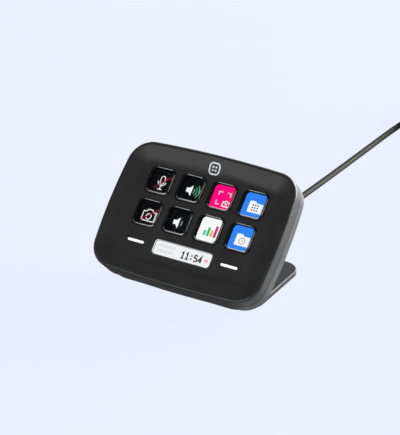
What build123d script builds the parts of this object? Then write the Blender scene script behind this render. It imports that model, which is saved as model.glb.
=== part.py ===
from build123d import *
import os
from math import cos, pi, radians, sin, sqrt, tan

# A desk macro keypad: eight clear sprung keys over one colour display, an information bar and
# two touch bars, in a slim two-part case that leans back on a fixed foot, with a captive USB lead.
#
# Millimetres, +Z up. The origin is on the desk, under the middle of the keypad's own box: +X is to
# the user's right, the face looks to -Y. Most pieces are drawn in the face frame, where X runs
# along the face, Y up the face and Z out of it, with Z = 0 at the field that holds the keys.

# ---- case ----
BODY_WIDTH = 107.1
BODY_HEIGHT = 77.8
TOP_BOW = 1.9  # how far the top and bottom edges bow out at their middle
SIDE_BOW = 2.3  # the same for the two sides
CORNER_RADIUS = 14.0
FACE_SLOPE = 45.0  # degrees between the face and the desk
RIM_RISE = 2.5  # the rim stands this far proud of the key field
RIM_WIDTH = 1.9  # from the outside of the case to where the dish begins
DISH_WIDTH = 8.6  # the slope from the rim down to the key field
DISH_BLEND = 14.0  # radius where the slope runs into the key field
RIM_BLEND = 0.5  # radius on the inner edge of the rim
EDGE_RADIUS = 1.3  # on the outer edge of the rim
BACK_EDGE_RADIUS = 1.5
SEAM_DEPTH = 4.6  # from the key field down to the joint between the covers
SEAM_GAP = 0.35  # the shadow line between the covers
BACK_DEPTH = 11.7  # from the key field down to the outside of the back
WALL = 1.8
LIP_WIDTH = 0.9  # tongue of the front cover, inside the rear cover's wall
LIP_REACH = 1.3  # how far the tongue passes the seam
LIP_FIT = 0.1
BODY_LIFT = 0.6  # from the desk to the lowest edge of the case

# ---- keys ----
KEY_COLUMNS = 4
KEY_ROWS = 2
KEY_FIELD_SIDE = 14.75  # from the side of the case to where the columns of keys begin
KEY_COLUMN_SPACE = 4.2  # between keys side by side
KEY_ROW_SPACE = 3.4  # between the rows
KEY_HEIGHT = 16.0
KEY_CORNER = 3.4
KEY_EDGE = 0.8  # rounding on the top edge of a key
KEY_PROUD = 0.35  # a key stands this far out of the key field
KEY_TRAVEL = 1.0
KEY_GAP = 0.25  # all round, between a key and its window
FLANGE_WIDTH = 1.0  # the flange that keeps a key under the face
FLANGE_THICKNESS = 0.8
FIELD_CENTRE_Y = 7.6  # middle of the key block, up the face from its centre
WINDOW_EDGE = 0.3  # broken edge round the windows in the face
FIT = 0.1  # running and assembly clearance

# ---- display stack under the keys ----
DOME_SHEET_THICKNESS = 0.3
CONTACT_SHEET_THICKNESS = 0.2
PANEL_MARGIN = 3.1  # from the keys to the edge of the display, all round
PANEL_THICKNESS = 1.2
PANEL_CORNER = 1.0
GUIDE_THICKNESS = 1.5  # light guide behind the display
TRAY_WALL = 0.4
TRAY_CORNER = 1.5
STACK_RIB = 1.2  # rib of the front cover that presses on the stack

# ---- information bar ----
BAR_WIDTH = 35.6
BAR_HEIGHT = 8.2
BAR_CORNER = 1.7
BAR_CENTRE_Y = -18.95
BAR_SUNK = 0.3  # the bar's clear window sits this far below the key field
BAR_FLANGE = 0.8  # flange of the window, under the face
BAR_FLANGE_THICKNESS = 0.6
BAR_PANEL_MARGIN = 1.2
BAR_PANEL_THICKNESS = 1.2

# ---- touch bars ----
TOUCH_X = 29.2
TOUCH_LENGTH = 10.2
TOUCH_WIDTH = 1.35
TOUCH_FLANGE = 0.9
TOUCH_FLANGE_THICKNESS = 0.8
LED_SIZE = 1.6
LED_HEIGHT = 0.7

# ---- boards ----
TOUCH_BOARD_END = 3.5  # from a post's centre to the end of the touch board
TOUCH_BOARD_HEIGHT = 12.6
TOUCH_BOARD_CORNER = 1.5
TOUCH_BOARD_THICKNESS = 0.8
TOUCH_BOARD_SETBACK = 0.4  # from the tray to the board's upper edge
TOUCH_POST_RADIUS = 1.6
STAKE_RADIUS = 0.8  # pins that hold the touch board, melted over behind it
STAKE_REACH = 0.5
TOUCH_POST_SETBACK = 4.2  # from the end of a touch bar to the post's centre
BOARD_SIDE_SETBACK = 6.55  # from the outside of the case to the edges of the main board
BOARD_TOP_SETBACK = 12.9
BOARD_BOTTOM_SETBACK = 8.4
BOARD_THICKNESS = 1.0
BOARD_POST_SIDE = 2.6  # from the board's side edge to a post's centre
BOARD_POST_TOP = 8.5  # from its top edge
BOARD_POST_BOTTOM = 13.0  # from its bottom edge
BOARD_POST_RADIUS = 2.1
BOARD_CORNER_CUT = 11.0
CHIP_HEIGHT = 0.85
CHIP_AIR = 0.35  # between the chips and the back of the case
CHIPS = (
    (-17.0, 3.0, 10.0, 10.0),
    (2.0, 6.0, 8.0, 6.0),
    (17.0, -3.0, 6.0, 6.0),
    (28.0, 8.0, 4.0, 3.0),
    (-30.0, -8.0, 5.0, 3.2),
    (-4.0, -14.0, 3.2, 2.6),
    (30.0, -16.0, 3.2, 2.6),
)  # centre and size of each chip on the back of the board
CHIP_CORNER = 0.2
RIBBON_THICKNESS = 0.2
RIBBON_WIDTH = 24.0
RIBBON_MARGIN = 0.5  # each side of the ribbon, in its notch and socket
RIBBON_BULGE = 1.2  # straight part before the ribbon folds round the tray
RIBBON_SOCKET_DEPTH = 3.4
RIBBON_SOCKET_SETBACK = 2.0  # from the top edge of the board
LINK_X = 24.0
LINK_WIDTH = 12.0
LINK_DEPTH = 2.6

# ---- screws ----
CASE_SCREW_RADIUS = 1.0
CASE_SCREW_LENGTH = 7.5
CASE_BOSS_RADIUS = 2.7
CASE_BOSS_SIDE = 10.3  # from the side of the case to a boss's centre
CASE_BOSS_END = 8.6  # from the top or bottom of the case
CASE_BOSS_MEET = 5.6  # depth at which front boss and rear post meet
BOARD_SCREW_RADIUS = 0.8
BOARD_SCREW_LENGTH = 3.0
STAND_SCREW_RADIUS = 1.0
STAND_SCREW_LENGTH = 4.6
STAND_SCREW_UP = 5.6  # up the back from its lower edge
STAND_SCREW_INNER = 13.0  # from the middle to the inner screws
STAND_SCREW_SIDE = 12.0  # from the stand's side to the outer screws
HEAD_RATIO = 1.85  # head radius over thread radius
HEAD_HEIGHT = 1.1
DRIVE_RATIO = 0.55  # width of the drive recess over the head radius
DRIVE_DEPTH = 0.6
COUNTERBORE_DEPTH = 1.5
THREAD_FIT = 0.02
SCREW_CLEARANCE = 0.15

# ---- stand ----
STAND_WIDTH = 92.0
STAND_REACH = 58.6  # from the lower back edge of the case to the rear of the foot
STAND_UNDER = 0.4  # from the desk to the underside of the foot
STAND_THICKNESS = 2.8
STAND_REAR_CORNER = 9.5
STAND_FRONT_CORNER = 14.0
STAND_EDGE = 0.7
NECK_BLEND = 2.5  # hollow radius between the foot and the back of the case
PAD_MARGIN = 4.0
PAD_RECESS = 0.6
PAD_FIT = 0.15
PAD_FRONT_SETBACK = 9.0

# ---- cable outlet ----
OUTLET_X = 0.0
OUTLET_HEIGHT = 14.4  # of the lead's axis above the desk
OUTLET_WIDTH = 12.6
OUTLET_TALL = 12.0
OUTLET_BEHIND = 8.6  # rear of the outlet, behind the back of the case at the lead's axis
OUTLET_WALL = 2.0
OUTLET_EDGE = 1.6
BOOT_COLLAR_RADIUS = 3.9
BOOT_COLLAR_LENGTH = 1.6
BOOT_NECK_RADIUS = 3.1
BOOT_TIP_RADIUS = 2.35
BOOT_LENGTH = 12.0
WIRE_RADIUS = 0.5
WIRE_PITCH = 1.1
WIRE_COUNT = 4
WIRE_BEND = 3.0
WIRE_CONNECTOR_DEPTH = 3.4

# ---- lead ----
CABLE_DIAMETER = 3.8
CABLE_ROUTE = (
    (OUTLET_X, 22.0, OUTLET_HEIGHT),
    (1.4, 37.0, 10.8),
    (2.8, 53.0, 4.5),
    (4.3, 70.0, 1.9),
    (6.6, 97.0, 1.9),
    (9.2, 142.0, 1.9),
    (11.0, 190.0, 1.9),
    (12.1, 232.0, 1.95),
    (12.8, 252.0, 2.5),
)  # after the boot's tip and before the coil, chosen by hand
COIL_CENTRE = (38.1, 268.0)
COIL_ACROSS = 11.0  # in lead diameters, at the middle of the turns
COIL_LAYERS = 4
COIL_TURNS = 9.25
COIL_EDGE = 1.7  # rounding of the coil's outer shape
TIE_THICKNESS = 0.7
TIE_WIDTH = 9.0
TIE_ANGLES = (-45.0, 135.0)
PLUG_WIDTH = 11.4
PLUG_THICKNESS = 6.2
PLUG_LENGTH = 20.0
PLUG_CORNER = 2.0
PLUG_EDGE = 0.7
PLUG_RELIEF_LENGTH = 8.0
PLUG_RELIEF_RADIUS = 2.7
PLUG_RELIEF_TIP = 2.3  # radius where the lead enters
TAIL_ROUTE = (
    (52.0, 293.7, 13.1),
    (67.0, 290.3, 9.8),
    (75.5, 280.5, 5.8),
    (77.4, 269.0, PLUG_THICKNESS / 2),
)  # from the top turn of the coil down to the plug, chosen by hand
PLUG_END = (77.9, 259.0)  # where the lead enters the plug, which lies flat
SHELL_WIDTH = 8.25
SHELL_THICKNESS = 2.4
SHELL_LENGTH = 6.65
SHELL_WALL = 0.3
INSERT_SETBACK = 0.5
SLOT_WIDTH = 6.2
SLOT_TALL = 0.75
SLOT_DEPTH = 5.0

# ---- where the tilted face stands ----
SLOPE = radians(FACE_SLOPE)
HALF_HEIGHT = BODY_HEIGHT / 2
FRONT_REACH = (
    (HALF_HEIGHT - EDGE_RADIUS) * cos(SLOPE) + (RIM_RISE - EDGE_RADIUS) * sin(SLOPE) + EDGE_RADIUS
)
HEEL_OFFSET = -HALF_HEIGHT * cos(SLOPE) + BACK_DEPTH * sin(SLOPE)
REAR_REACH = max(
    HEEL_OFFSET + STAND_REACH,
    HALF_HEIGHT * cos(SLOPE) + BACK_DEPTH * sin(SLOPE),
)
FACE_Y = (FRONT_REACH - REAR_REACH) / 2
FACE_Z = (
    BODY_LIFT
    + (HALF_HEIGHT - BACK_EDGE_RADIUS) * sin(SLOPE)
    + (BACK_DEPTH - BACK_EDGE_RADIUS) * cos(SLOPE)
    + BACK_EDGE_RADIUS
)
FACE = Location((0, FACE_Y, FACE_Z), (FACE_SLOPE, 0, 0))
HEEL_Y = FACE_Y + HEEL_OFFSET  # lower back edge of the case, before it is rounded
HEEL_Z = FACE_Z - HALF_HEIGHT * sin(SLOPE) - BACK_DEPTH * cos(SLOPE)

# ---- depths below the key field ----
FACE_BACK = -WALL
FLANGE_TOP = FACE_BACK - FIT
KEY_FLOOR = FLANGE_TOP - FLANGE_THICKNESS
DOME_TOP = KEY_FLOOR - KEY_TRAVEL - FIT
CONTACT_TOP = DOME_TOP - DOME_SHEET_THICKNESS
PANEL_TOP = CONTACT_TOP - CONTACT_SHEET_THICKNESS
GUIDE_TOP = PANEL_TOP - PANEL_THICKNESS
TRAY_TOP = GUIDE_TOP - GUIDE_THICKNESS
TRAY_BACK = TRAY_TOP - TRAY_WALL
BACK_INSIDE = -BACK_DEPTH + WALL
BOARD_BACK = BACK_INSIDE + CHIP_HEIGHT + CHIP_AIR
BOARD_FRONT = BOARD_BACK + BOARD_THICKNESS
CASE_SCREW_SEAT = -BACK_DEPTH + COUNTERBORE_DEPTH
BAR_TOP = -BAR_SUNK
BAR_PANEL_TOP = FLANGE_TOP - BAR_FLANGE_THICKNESS
TOUCH_BOARD_TOP = BAR_PANEL_TOP - BAR_PANEL_THICKNESS
TOUCH_BOARD_BACK = TOUCH_BOARD_TOP - TOUCH_BOARD_THICKNESS

# ---- places in the key field ----
COLUMN_PITCH = (BODY_WIDTH - 2 * KEY_FIELD_SIDE) / KEY_COLUMNS
ROW_PITCH = KEY_HEIGHT + KEY_ROW_SPACE
KEY_WIDTH = COLUMN_PITCH - KEY_COLUMN_SPACE
FIELD_WIDTH = (KEY_COLUMNS - 1) * COLUMN_PITCH
FIELD_HEIGHT = (KEY_ROWS - 1) * ROW_PITCH
KEY_CENTRES = [
    (column * COLUMN_PITCH - FIELD_WIDTH / 2, FIELD_CENTRE_Y + FIELD_HEIGHT / 2 - row * ROW_PITCH)
    for row in range(KEY_ROWS)
    for column in range(KEY_COLUMNS)
]
TOUCH_CENTRES = [(-TOUCH_X, BAR_CENTRE_Y), (TOUCH_X, BAR_CENTRE_Y)]
TOUCH_POST_X = TOUCH_X + TOUCH_LENGTH / 2 + TOUCH_POST_SETBACK
TOUCH_POSTS = [(-TOUCH_POST_X, BAR_CENTRE_Y), (TOUCH_POST_X, BAR_CENTRE_Y)]
TOUCH_BOARD_WIDTH = 2 * (TOUCH_POST_X + TOUCH_BOARD_END)
PANEL_WIDTH = FIELD_WIDTH + KEY_WIDTH + 2 * PANEL_MARGIN
PANEL_HEIGHT = FIELD_HEIGHT + KEY_HEIGHT + 2 * PANEL_MARGIN
BOARD_SIDE = BODY_WIDTH / 2 - BOARD_SIDE_SETBACK
BOARD_TOP = HALF_HEIGHT - BOARD_TOP_SETBACK
BOARD_BOTTOM = BOARD_BOTTOM_SETBACK - HALF_HEIGHT


def four_places(side, bottom, top):
    """Four places, two on each side of the middle."""
    return [(x, y) for x in (-side, side) for y in (bottom, top)]


boss_height = HALF_HEIGHT - CASE_BOSS_END
CASE_BOSSES = four_places(BODY_WIDTH / 2 - CASE_BOSS_SIDE, -boss_height, boss_height)
BOARD_POSTS = four_places(
    BOARD_SIDE - BOARD_POST_SIDE, BOARD_BOTTOM + BOARD_POST_BOTTOM, BOARD_TOP - BOARD_POST_TOP
)
stand_screw_outer = STAND_WIDTH / 2 - STAND_SCREW_SIDE
STAND_SCREWS = [
    (x, STAND_SCREW_UP - HALF_HEIGHT)
    for x in (-stand_screw_outer, -STAND_SCREW_INNER, STAND_SCREW_INNER, stand_screw_outer)
]
PANEL_FOOT = FIELD_CENTRE_Y - PANEL_HEIGHT / 2
PANEL_HEAD = FIELD_CENTRE_Y + PANEL_HEIGHT / 2
TRAY_MARGIN = FIT + TRAY_WALL
TOUCH_BOARD_Y = PANEL_FOOT - TRAY_MARGIN - TOUCH_BOARD_SETBACK - TOUCH_BOARD_HEIGHT / 2

# ---- the lead, its outlet and its coil ----
OUTLET_REAR = HEEL_Y + (OUTLET_HEIGHT - HEEL_Z) / tan(SLOPE) + OUTLET_BEHIND
COLLAR_FRONT = OUTLET_REAR - OUTLET_WALL - BOOT_COLLAR_LENGTH
BOOT_TIP = OUTLET_REAR + BOOT_LENGTH
CABLE_RADIUS = CABLE_DIAMETER / 2
COIL_RADIUS = COIL_ACROSS * CABLE_DIAMETER / 2
COIL_SPREAD = COIL_TURNS / COIL_LAYERS * CABLE_DIAMETER
COIL_OUTER_TURN = COIL_RADIUS + COIL_SPREAD / 2
COIL_TALL = COIL_LAYERS * CABLE_DIAMETER
COIL_HALF_WIDTH = (COIL_SPREAD + CABLE_DIAMETER) / 2
ARC_SHARE = 0.45  # part of the shorter run that an arc of the lead takes up


def outline(inset):
    """The case's outline as a face at Z = 0, every edge moved in by inset."""
    side = BODY_WIDTH / 2 - inset
    top = HALF_HEIGHT - inset
    corner_x = side - SIDE_BOW
    corner_y = top - TOP_BOW
    arcs = [
        ThreePointArc((-corner_x, corner_y), (0, top), (corner_x, corner_y)),
        ThreePointArc((corner_x, corner_y), (side, 0), (corner_x, -corner_y)),
        ThreePointArc((corner_x, -corner_y), (0, -top), (-corner_x, -corner_y)),
        ThreePointArc((-corner_x, -corner_y), (-side, 0), (-corner_x, corner_y)),
    ]
    face = make_face(arcs)
    return fillet(face.vertices(), CORNER_RADIUS - inset)


def slab(face, low, high):
    """A flat face at Z = 0 made solid between two heights."""
    return Pos(0, 0, low) * extrude(face, high - low)


def plate(width, height, corner, low, high, centre=(0, 0)):
    """A rounded rectangle between two heights."""
    return Pos(centre[0], centre[1], 0) * slab(RectangleRounded(width, height, corner), low, high)


def rod(radius, low, high, centre=(0, 0)):
    """An upright cylinder between two heights."""
    return Pos(centre[0], centre[1], 0) * slab(Circle(radius), low, high)


def edges_at(shape, height):
    """The edges of a shape that lie in one level plane."""
    return shape.edges().filter_by_position(Axis.Z, height - 1e-4, height + 1e-4)


def screws(radius, length, seat, centres, turn=Rot(0, 0, 0)):
    """Like screws, one at each centre: heads on the level seat, threads downwards unless turned."""
    head_radius = radius * HEAD_RATIO
    head = rod(head_radius, 0, HEAD_HEIGHT)
    head = fillet(edges_at(head, HEAD_HEIGHT), HEAD_HEIGHT / 3)
    slot = Rectangle(2 * DRIVE_RATIO * head_radius, DRIVE_RATIO * head_radius / 2)
    head -= slab(slot + Rot(0, 0, 90) * slot, HEAD_HEIGHT - DRIVE_DEPTH, HEAD_HEIGHT)
    one = turn * (head + rod(radius, -length, 0))
    return Compound([Pos(x, y, seat) * one for x, y in centres])


def on_face(shape):
    """Carry a shape from the face frame to where the tilted face stands."""
    return FACE * shape


def face_point(x, y, z):
    """A point of the face frame in the part's own frame."""
    return (FACE * Pos(x, y, z)).position


def lying_rod(radius, start, end, end_radius=None):
    """A rod on the outlet's axis, along +Y from start to end, a cone if it has an end radius."""
    sections = [
        Plane(origin=(OUTLET_X, y, OUTLET_HEIGHT), z_dir=(0, 1, 0)) * Circle(size)
        for y, size in ((start, radius), (end, end_radius or radius))
    ]
    return loft(sections)


def arc_radii(points):
    """The radius at each corner of a route, as large as its two runs allow."""
    corners = [Vector(point) for point in points]
    radii = []
    for before, corner, after in zip(corners, corners[1:], corners[2:]):
        run = min((corner - before).length, (after - corner).length)
        turn = radians((corner - before).get_angle(after - corner))
        radii.append(ARC_SHARE * run / tan(turn / 2))
    return radii


def tube(points, radius, bends):
    """A round tube along straight runs joined by tangent arcs, and its centre line."""
    path = FilletPolyline(*points, radius=bends)
    section = Plane(origin=path @ 0, z_dir=path % 0) * Circle(radius)
    return sweep(section, path=path), path


# ---- the pieces, in the face frame ----
def window_cut(width, height, corner, centre):
    """The tool that cuts a window through the face, with a broken edge on its front."""
    hole = plate(width, height, corner, FACE_BACK, 0, centre)
    wide = RectangleRounded(width + 2 * WINDOW_EDGE, height + 2 * WINDOW_EDGE, corner + WINDOW_EDGE)
    narrow = Pos(0, 0, -WINDOW_EDGE) * RectangleRounded(width, height, corner)
    return hole + Pos(centre[0], centre[1], 0) * loft([narrow, wide], ruled=True)


def dished_block():
    """The solid front: bowed outline, rounded rim and the dish that runs down to the key field."""
    block = slab(outline(0), -SEAM_DEPTH, RIM_RISE)
    block = fillet(edges_at(block, RIM_RISE), EDGE_RADIUS)
    rim = Pos(0, 0, RIM_RISE) * outline(RIM_WIDTH)
    block -= loft([outline(RIM_WIDTH + DISH_WIDTH), rim], ruled=True)
    block = fillet(edges_at(block, 0), DISH_BLEND)
    return fillet(block.faces().sort_by(Axis.Z)[-1].inner_wires()[0].edges(), RIM_BLEND)


def inner_hollow():
    """What is scooped out behind the front, so that its wall follows the dish."""
    ceiling = RIM_RISE - WALL
    hollow = slab(outline(WALL), -SEAM_DEPTH, ceiling)
    dish_foot = Pos(0, 0, FACE_BACK) * outline(RIM_WIDTH + DISH_WIDTH)
    dish_head = Pos(0, 0, ceiling) * outline(WALL + LIP_WIDTH)
    return hollow - loft([dish_foot, dish_head], ruled=True)


def front_cover():
    """The dished front shell, with its windows, bosses, pressing rib, stakes and seam tongue."""
    shell = dished_block() - inner_hollow()
    shell += slab(outline(WALL - LIP_WIDTH) - outline(WALL), -SEAM_DEPTH - LIP_REACH, -SEAM_DEPTH)
    for centre in KEY_CENTRES:
        width = KEY_WIDTH + 2 * KEY_GAP
        height = KEY_HEIGHT + 2 * KEY_GAP
        shell -= window_cut(width, height, KEY_CORNER + KEY_GAP, centre)
    bar_width = BAR_WIDTH + 2 * FIT
    bar_height = BAR_HEIGHT + 2 * FIT
    shell -= window_cut(bar_width, bar_height, BAR_CORNER + FIT, (0, BAR_CENTRE_Y))
    for centre in TOUCH_CENTRES:
        slot = SlotOverall(TOUCH_LENGTH + 2 * FIT, TOUCH_WIDTH + 2 * FIT)
        shell -= Pos(*centre, 0) * slab(slot, FACE_BACK, 0)
    rib = Rectangle(PANEL_WIDTH, PANEL_HEIGHT)
    rib -= Rectangle(PANEL_WIDTH - 2 * STACK_RIB, PANEL_HEIGHT - 2 * STACK_RIB)
    shell += Pos(0, FIELD_CENTRE_Y, 0) * slab(rib, DOME_TOP, FACE_BACK)
    for centre in CASE_BOSSES:
        shell += rod(CASE_BOSS_RADIUS, -CASE_BOSS_MEET, 0, centre)
        thread_end = CASE_SCREW_SEAT + CASE_SCREW_LENGTH + SCREW_CLEARANCE
        shell -= rod(CASE_SCREW_RADIUS + THREAD_FIT, -CASE_BOSS_MEET, thread_end, centre)
    for centre in TOUCH_POSTS:
        shell += rod(TOUCH_POST_RADIUS, TOUCH_BOARD_TOP, FACE_BACK / 2, centre)
        shell += rod(STAKE_RADIUS, TOUCH_BOARD_BACK - STAKE_REACH, TOUCH_BOARD_TOP, centre)
    return shell


def key(centre):
    """One clear key: a rounded block with a flange that stops under the face."""
    cap = plate(KEY_WIDTH, KEY_HEIGHT, KEY_CORNER, KEY_FLOOR, KEY_PROUD)
    cap = fillet(edges_at(cap, KEY_PROUD), KEY_EDGE)
    width = KEY_WIDTH + 2 * FLANGE_WIDTH
    height = KEY_HEIGHT + 2 * FLANGE_WIDTH
    cap += plate(width, height, KEY_CORNER + FLANGE_WIDTH, KEY_FLOOR, FLANGE_TOP)
    return Pos(*centre, 0) * cap


def stack_plate(low, high):
    """A plain layer of the display stack between two heights."""
    return plate(PANEL_WIDTH, PANEL_HEIGHT, PANEL_CORNER, low, high, (0, FIELD_CENTRE_Y))


def windowed_sheet(extra, low, high):
    """A layer with an opening under every key, larger than the key by extra all round."""
    sheet = stack_plate(low, high)
    width = KEY_WIDTH + 2 * extra
    height = KEY_HEIGHT + 2 * extra
    for centre in KEY_CENTRES:
        sheet -= plate(width, height, KEY_CORNER + extra, low, high, centre)
    return sheet


def display_tray():
    """The pressed metal tray that holds the light guide and the display."""
    wide = PANEL_WIDTH + 2 * TRAY_MARGIN
    tall = PANEL_HEIGHT + 2 * TRAY_MARGIN
    middle = (0, FIELD_CENTRE_Y)
    tray = plate(wide, tall, TRAY_CORNER, TRAY_BACK, PANEL_TOP, middle)
    tray -= plate(
        PANEL_WIDTH + 2 * FIT, PANEL_HEIGHT + 2 * FIT, PANEL_CORNER + FIT, TRAY_TOP, PANEL_TOP, middle
    )
    notch = Rectangle(RIBBON_WIDTH + 2 * RIBBON_MARGIN, 2 * TRAY_MARGIN)
    return tray - Pos(0, PANEL_HEAD + TRAY_MARGIN, 0) * slab(notch, GUIDE_TOP, PANEL_TOP)


def bar_window():
    """The clear window of the information bar, flanged under the face."""
    middle = (0, BAR_CENTRE_Y)
    window = plate(BAR_WIDTH, BAR_HEIGHT, BAR_CORNER, FLANGE_TOP, BAR_TOP, middle)
    flange = plate(
        BAR_WIDTH + 2 * BAR_FLANGE,
        BAR_HEIGHT + 2 * BAR_FLANGE,
        BAR_CORNER + BAR_FLANGE,
        BAR_PANEL_TOP,
        FLANGE_TOP,
        middle,
    )
    return window + flange


def bar_panel():
    """The small display behind the information bar's window."""
    return plate(
        BAR_WIDTH + 2 * BAR_PANEL_MARGIN,
        BAR_HEIGHT + 2 * BAR_PANEL_MARGIN,
        PANEL_CORNER,
        TOUCH_BOARD_TOP,
        BAR_PANEL_TOP,
        (0, BAR_CENTRE_Y),
    )


def touch_lens(centre):
    """A translucent light bar, flush with the key field, flanged under the face."""
    lens = slab(SlotOverall(TOUCH_LENGTH, TOUCH_WIDTH), FLANGE_TOP, 0)
    flange = SlotOverall(TOUCH_LENGTH + 2 * TOUCH_FLANGE, TOUCH_WIDTH + 2 * TOUCH_FLANGE)
    lens += slab(flange, FLANGE_TOP - TOUCH_FLANGE_THICKNESS, FLANGE_TOP)
    return Pos(*centre, 0) * lens


def touch_leds():
    """Two lamps under each touch bar, on the touch board."""
    lamp = slab(Rectangle(LED_SIZE, LED_SIZE), TOUCH_BOARD_TOP, TOUCH_BOARD_TOP + LED_HEIGHT)
    return Compound(
        [
            Pos(x + side * TOUCH_LENGTH / 4, y, 0) * lamp
            for x, y in TOUCH_CENTRES
            for side in (-1, 1)
        ]
    )


def touch_board():
    """The narrow board that carries the touch pads, their lamps and the bar display."""
    board = plate(
        TOUCH_BOARD_WIDTH,
        TOUCH_BOARD_HEIGHT,
        TOUCH_BOARD_CORNER,
        TOUCH_BOARD_BACK,
        TOUCH_BOARD_TOP,
        (0, TOUCH_BOARD_Y),
    )
    for centre in TOUCH_POSTS:
        board -= rod(STAKE_RADIUS + FIT, TOUCH_BOARD_BACK, TOUCH_BOARD_TOP, centre)
    return board


def board_link():
    """The stacking connector between the touch board and the main board."""
    face = Pos(LINK_X, TOUCH_BOARD_Y) * Rectangle(LINK_WIDTH, LINK_DEPTH)
    return slab(face, BOARD_FRONT, TOUCH_BOARD_BACK)


def main_board():
    """The main board, its lower corners cut back round the case bosses."""
    cut = BOARD_CORNER_CUT
    shape = Polygon(
        (-BOARD_SIDE, BOARD_TOP),
        (-BOARD_SIDE, BOARD_BOTTOM + cut),
        (-BOARD_SIDE + cut, BOARD_BOTTOM),
        (BOARD_SIDE - cut, BOARD_BOTTOM),
        (BOARD_SIDE, BOARD_BOTTOM + cut),
        (BOARD_SIDE, BOARD_TOP),
        align=None,
    )
    board = slab(shape, BOARD_BACK, BOARD_FRONT)
    for centre in BOARD_POSTS:
        board -= rod(BOARD_SCREW_RADIUS + SCREW_CLEARANCE, BOARD_BACK, BOARD_FRONT, centre)
    return board


def board_chips():
    """The chips on the back of the main board."""
    low = BOARD_BACK - CHIP_HEIGHT
    return Compound([plate(w, h, CHIP_CORNER, low, BOARD_BACK, (x, y)) for x, y, w, h in CHIPS])


def board_sockets():
    """The sockets of the display's ribbon and of the lead's wires, behind the board."""
    low = BOARD_BACK - CHIP_HEIGHT
    ribbon_y = BOARD_TOP - RIBBON_SOCKET_SETBACK - RIBBON_SOCKET_DEPTH / 2
    ribbon = Pos(0, ribbon_y) * Rectangle(RIBBON_WIDTH + 2 * RIBBON_MARGIN, RIBBON_SOCKET_DEPTH)
    wires_y = BOARD_BOTTOM + WIRE_CONNECTOR_DEPTH / 2
    wires = Pos(OUTLET_X, wires_y) * Rectangle((WIRE_COUNT + 1) * WIRE_PITCH, WIRE_CONNECTOR_DEPTH)
    return Compound([slab(ribbon, low, BOARD_BACK), slab(wires, low, BOARD_BACK)])


def display_ribbon():
    """The flat ribbon from the display's head, folded round the tray to the board's socket."""
    start_z = (PANEL_TOP + GUIDE_TOP) / 2
    end_z = BOARD_BACK - CHIP_HEIGHT / 2
    fold_y = PANEL_HEAD + RIBBON_BULGE
    reach = (start_z - end_z) / 2
    route = [
        Line((0, PANEL_HEAD, start_z), (0, fold_y, start_z)),
        ThreePointArc((0, fold_y, start_z), (0, fold_y + reach, start_z - reach), (0, fold_y, end_z)),
        Line((0, fold_y, end_z), (0, BOARD_TOP - RIBBON_SOCKET_SETBACK, end_z)),
    ]
    section = Plane(origin=(0, PANEL_HEAD, start_z), x_dir=(1, 0, 0), z_dir=(0, 1, 0))
    return sweep(section * Rectangle(RIBBON_WIDTH, RIBBON_THICKNESS), path=Wire(route))


def rear_shell():
    """The rear cover as it lies in the face frame, before its cable outlet."""
    rear_top = -SEAM_DEPTH - SEAM_GAP
    shell = slab(outline(0), -BACK_DEPTH, rear_top)
    shell = fillet(edges_at(shell, -BACK_DEPTH), BACK_EDGE_RADIUS)
    shell -= slab(outline(WALL), BACK_INSIDE, rear_top)
    rebate_floor = -SEAM_DEPTH - LIP_REACH - LIP_FIT
    shell -= slab(outline(WALL - LIP_WIDTH - LIP_FIT), rebate_floor, rear_top)
    tongue_room = slab(outline(WALL + LIP_FIT), BACK_INSIDE, rear_top)
    for centre in CASE_BOSSES:
        shell += rod(CASE_BOSS_RADIUS, BACK_INSIDE, -CASE_BOSS_MEET, centre) & tongue_room
        shell -= rod(CASE_SCREW_RADIUS + SCREW_CLEARANCE, -BACK_DEPTH, -CASE_BOSS_MEET, centre)
        head_room = CASE_SCREW_RADIUS * HEAD_RATIO + SCREW_CLEARANCE
        shell -= rod(head_room, -BACK_DEPTH, CASE_SCREW_SEAT, centre)
    for centre in BOARD_POSTS:
        shell += rod(BOARD_POST_RADIUS, BACK_INSIDE, BOARD_BACK, centre)
        thread_end = BOARD_FRONT - BOARD_SCREW_LENGTH - SCREW_CLEARANCE
        shell -= rod(BOARD_SCREW_RADIUS + THREAD_FIT, thread_end, BOARD_BACK, centre)
    for centre in STAND_SCREWS:
        shell -= rod(STAND_SCREW_RADIUS + SCREW_CLEARANCE, -BACK_DEPTH, BACK_INSIDE, centre)
    return shell


# ---- the pieces that stand upright ----
def rear_cover():
    """The rear cover with the hollow outlet that the lead leaves through."""
    room = Box(BODY_WIDTH, BODY_HEIGHT, BODY_HEIGHT)
    behind = on_face(Pos(0, 0, BACK_INSIDE - BODY_HEIGHT / 2) * room)
    block = Box(OUTLET_WIDTH, 2 * OUTLET_TALL, OUTLET_TALL)
    block = Pos(OUTLET_X, OUTLET_REAR - OUTLET_TALL, OUTLET_HEIGHT) * block
    block = fillet(block.edges().filter_by(Axis.Y), OUTLET_EDGE)
    block = fillet(block.faces().sort_by(Axis.Y)[-1].edges(), OUTLET_EDGE / 2)
    cover = on_face(rear_shell()) + (block & behind)
    cover -= lying_rod(BOOT_NECK_RADIUS + FIT, OUTLET_REAR - 2 * OUTLET_WALL, OUTLET_REAR)
    bore = BOOT_COLLAR_RADIUS + FIT
    inside = OUTLET_REAR - OUTLET_BEHIND - WALL / sin(SLOPE) - bore / tan(SLOPE)
    return cover - lying_rod(bore, inside, OUTLET_REAR - OUTLET_WALL)


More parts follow.
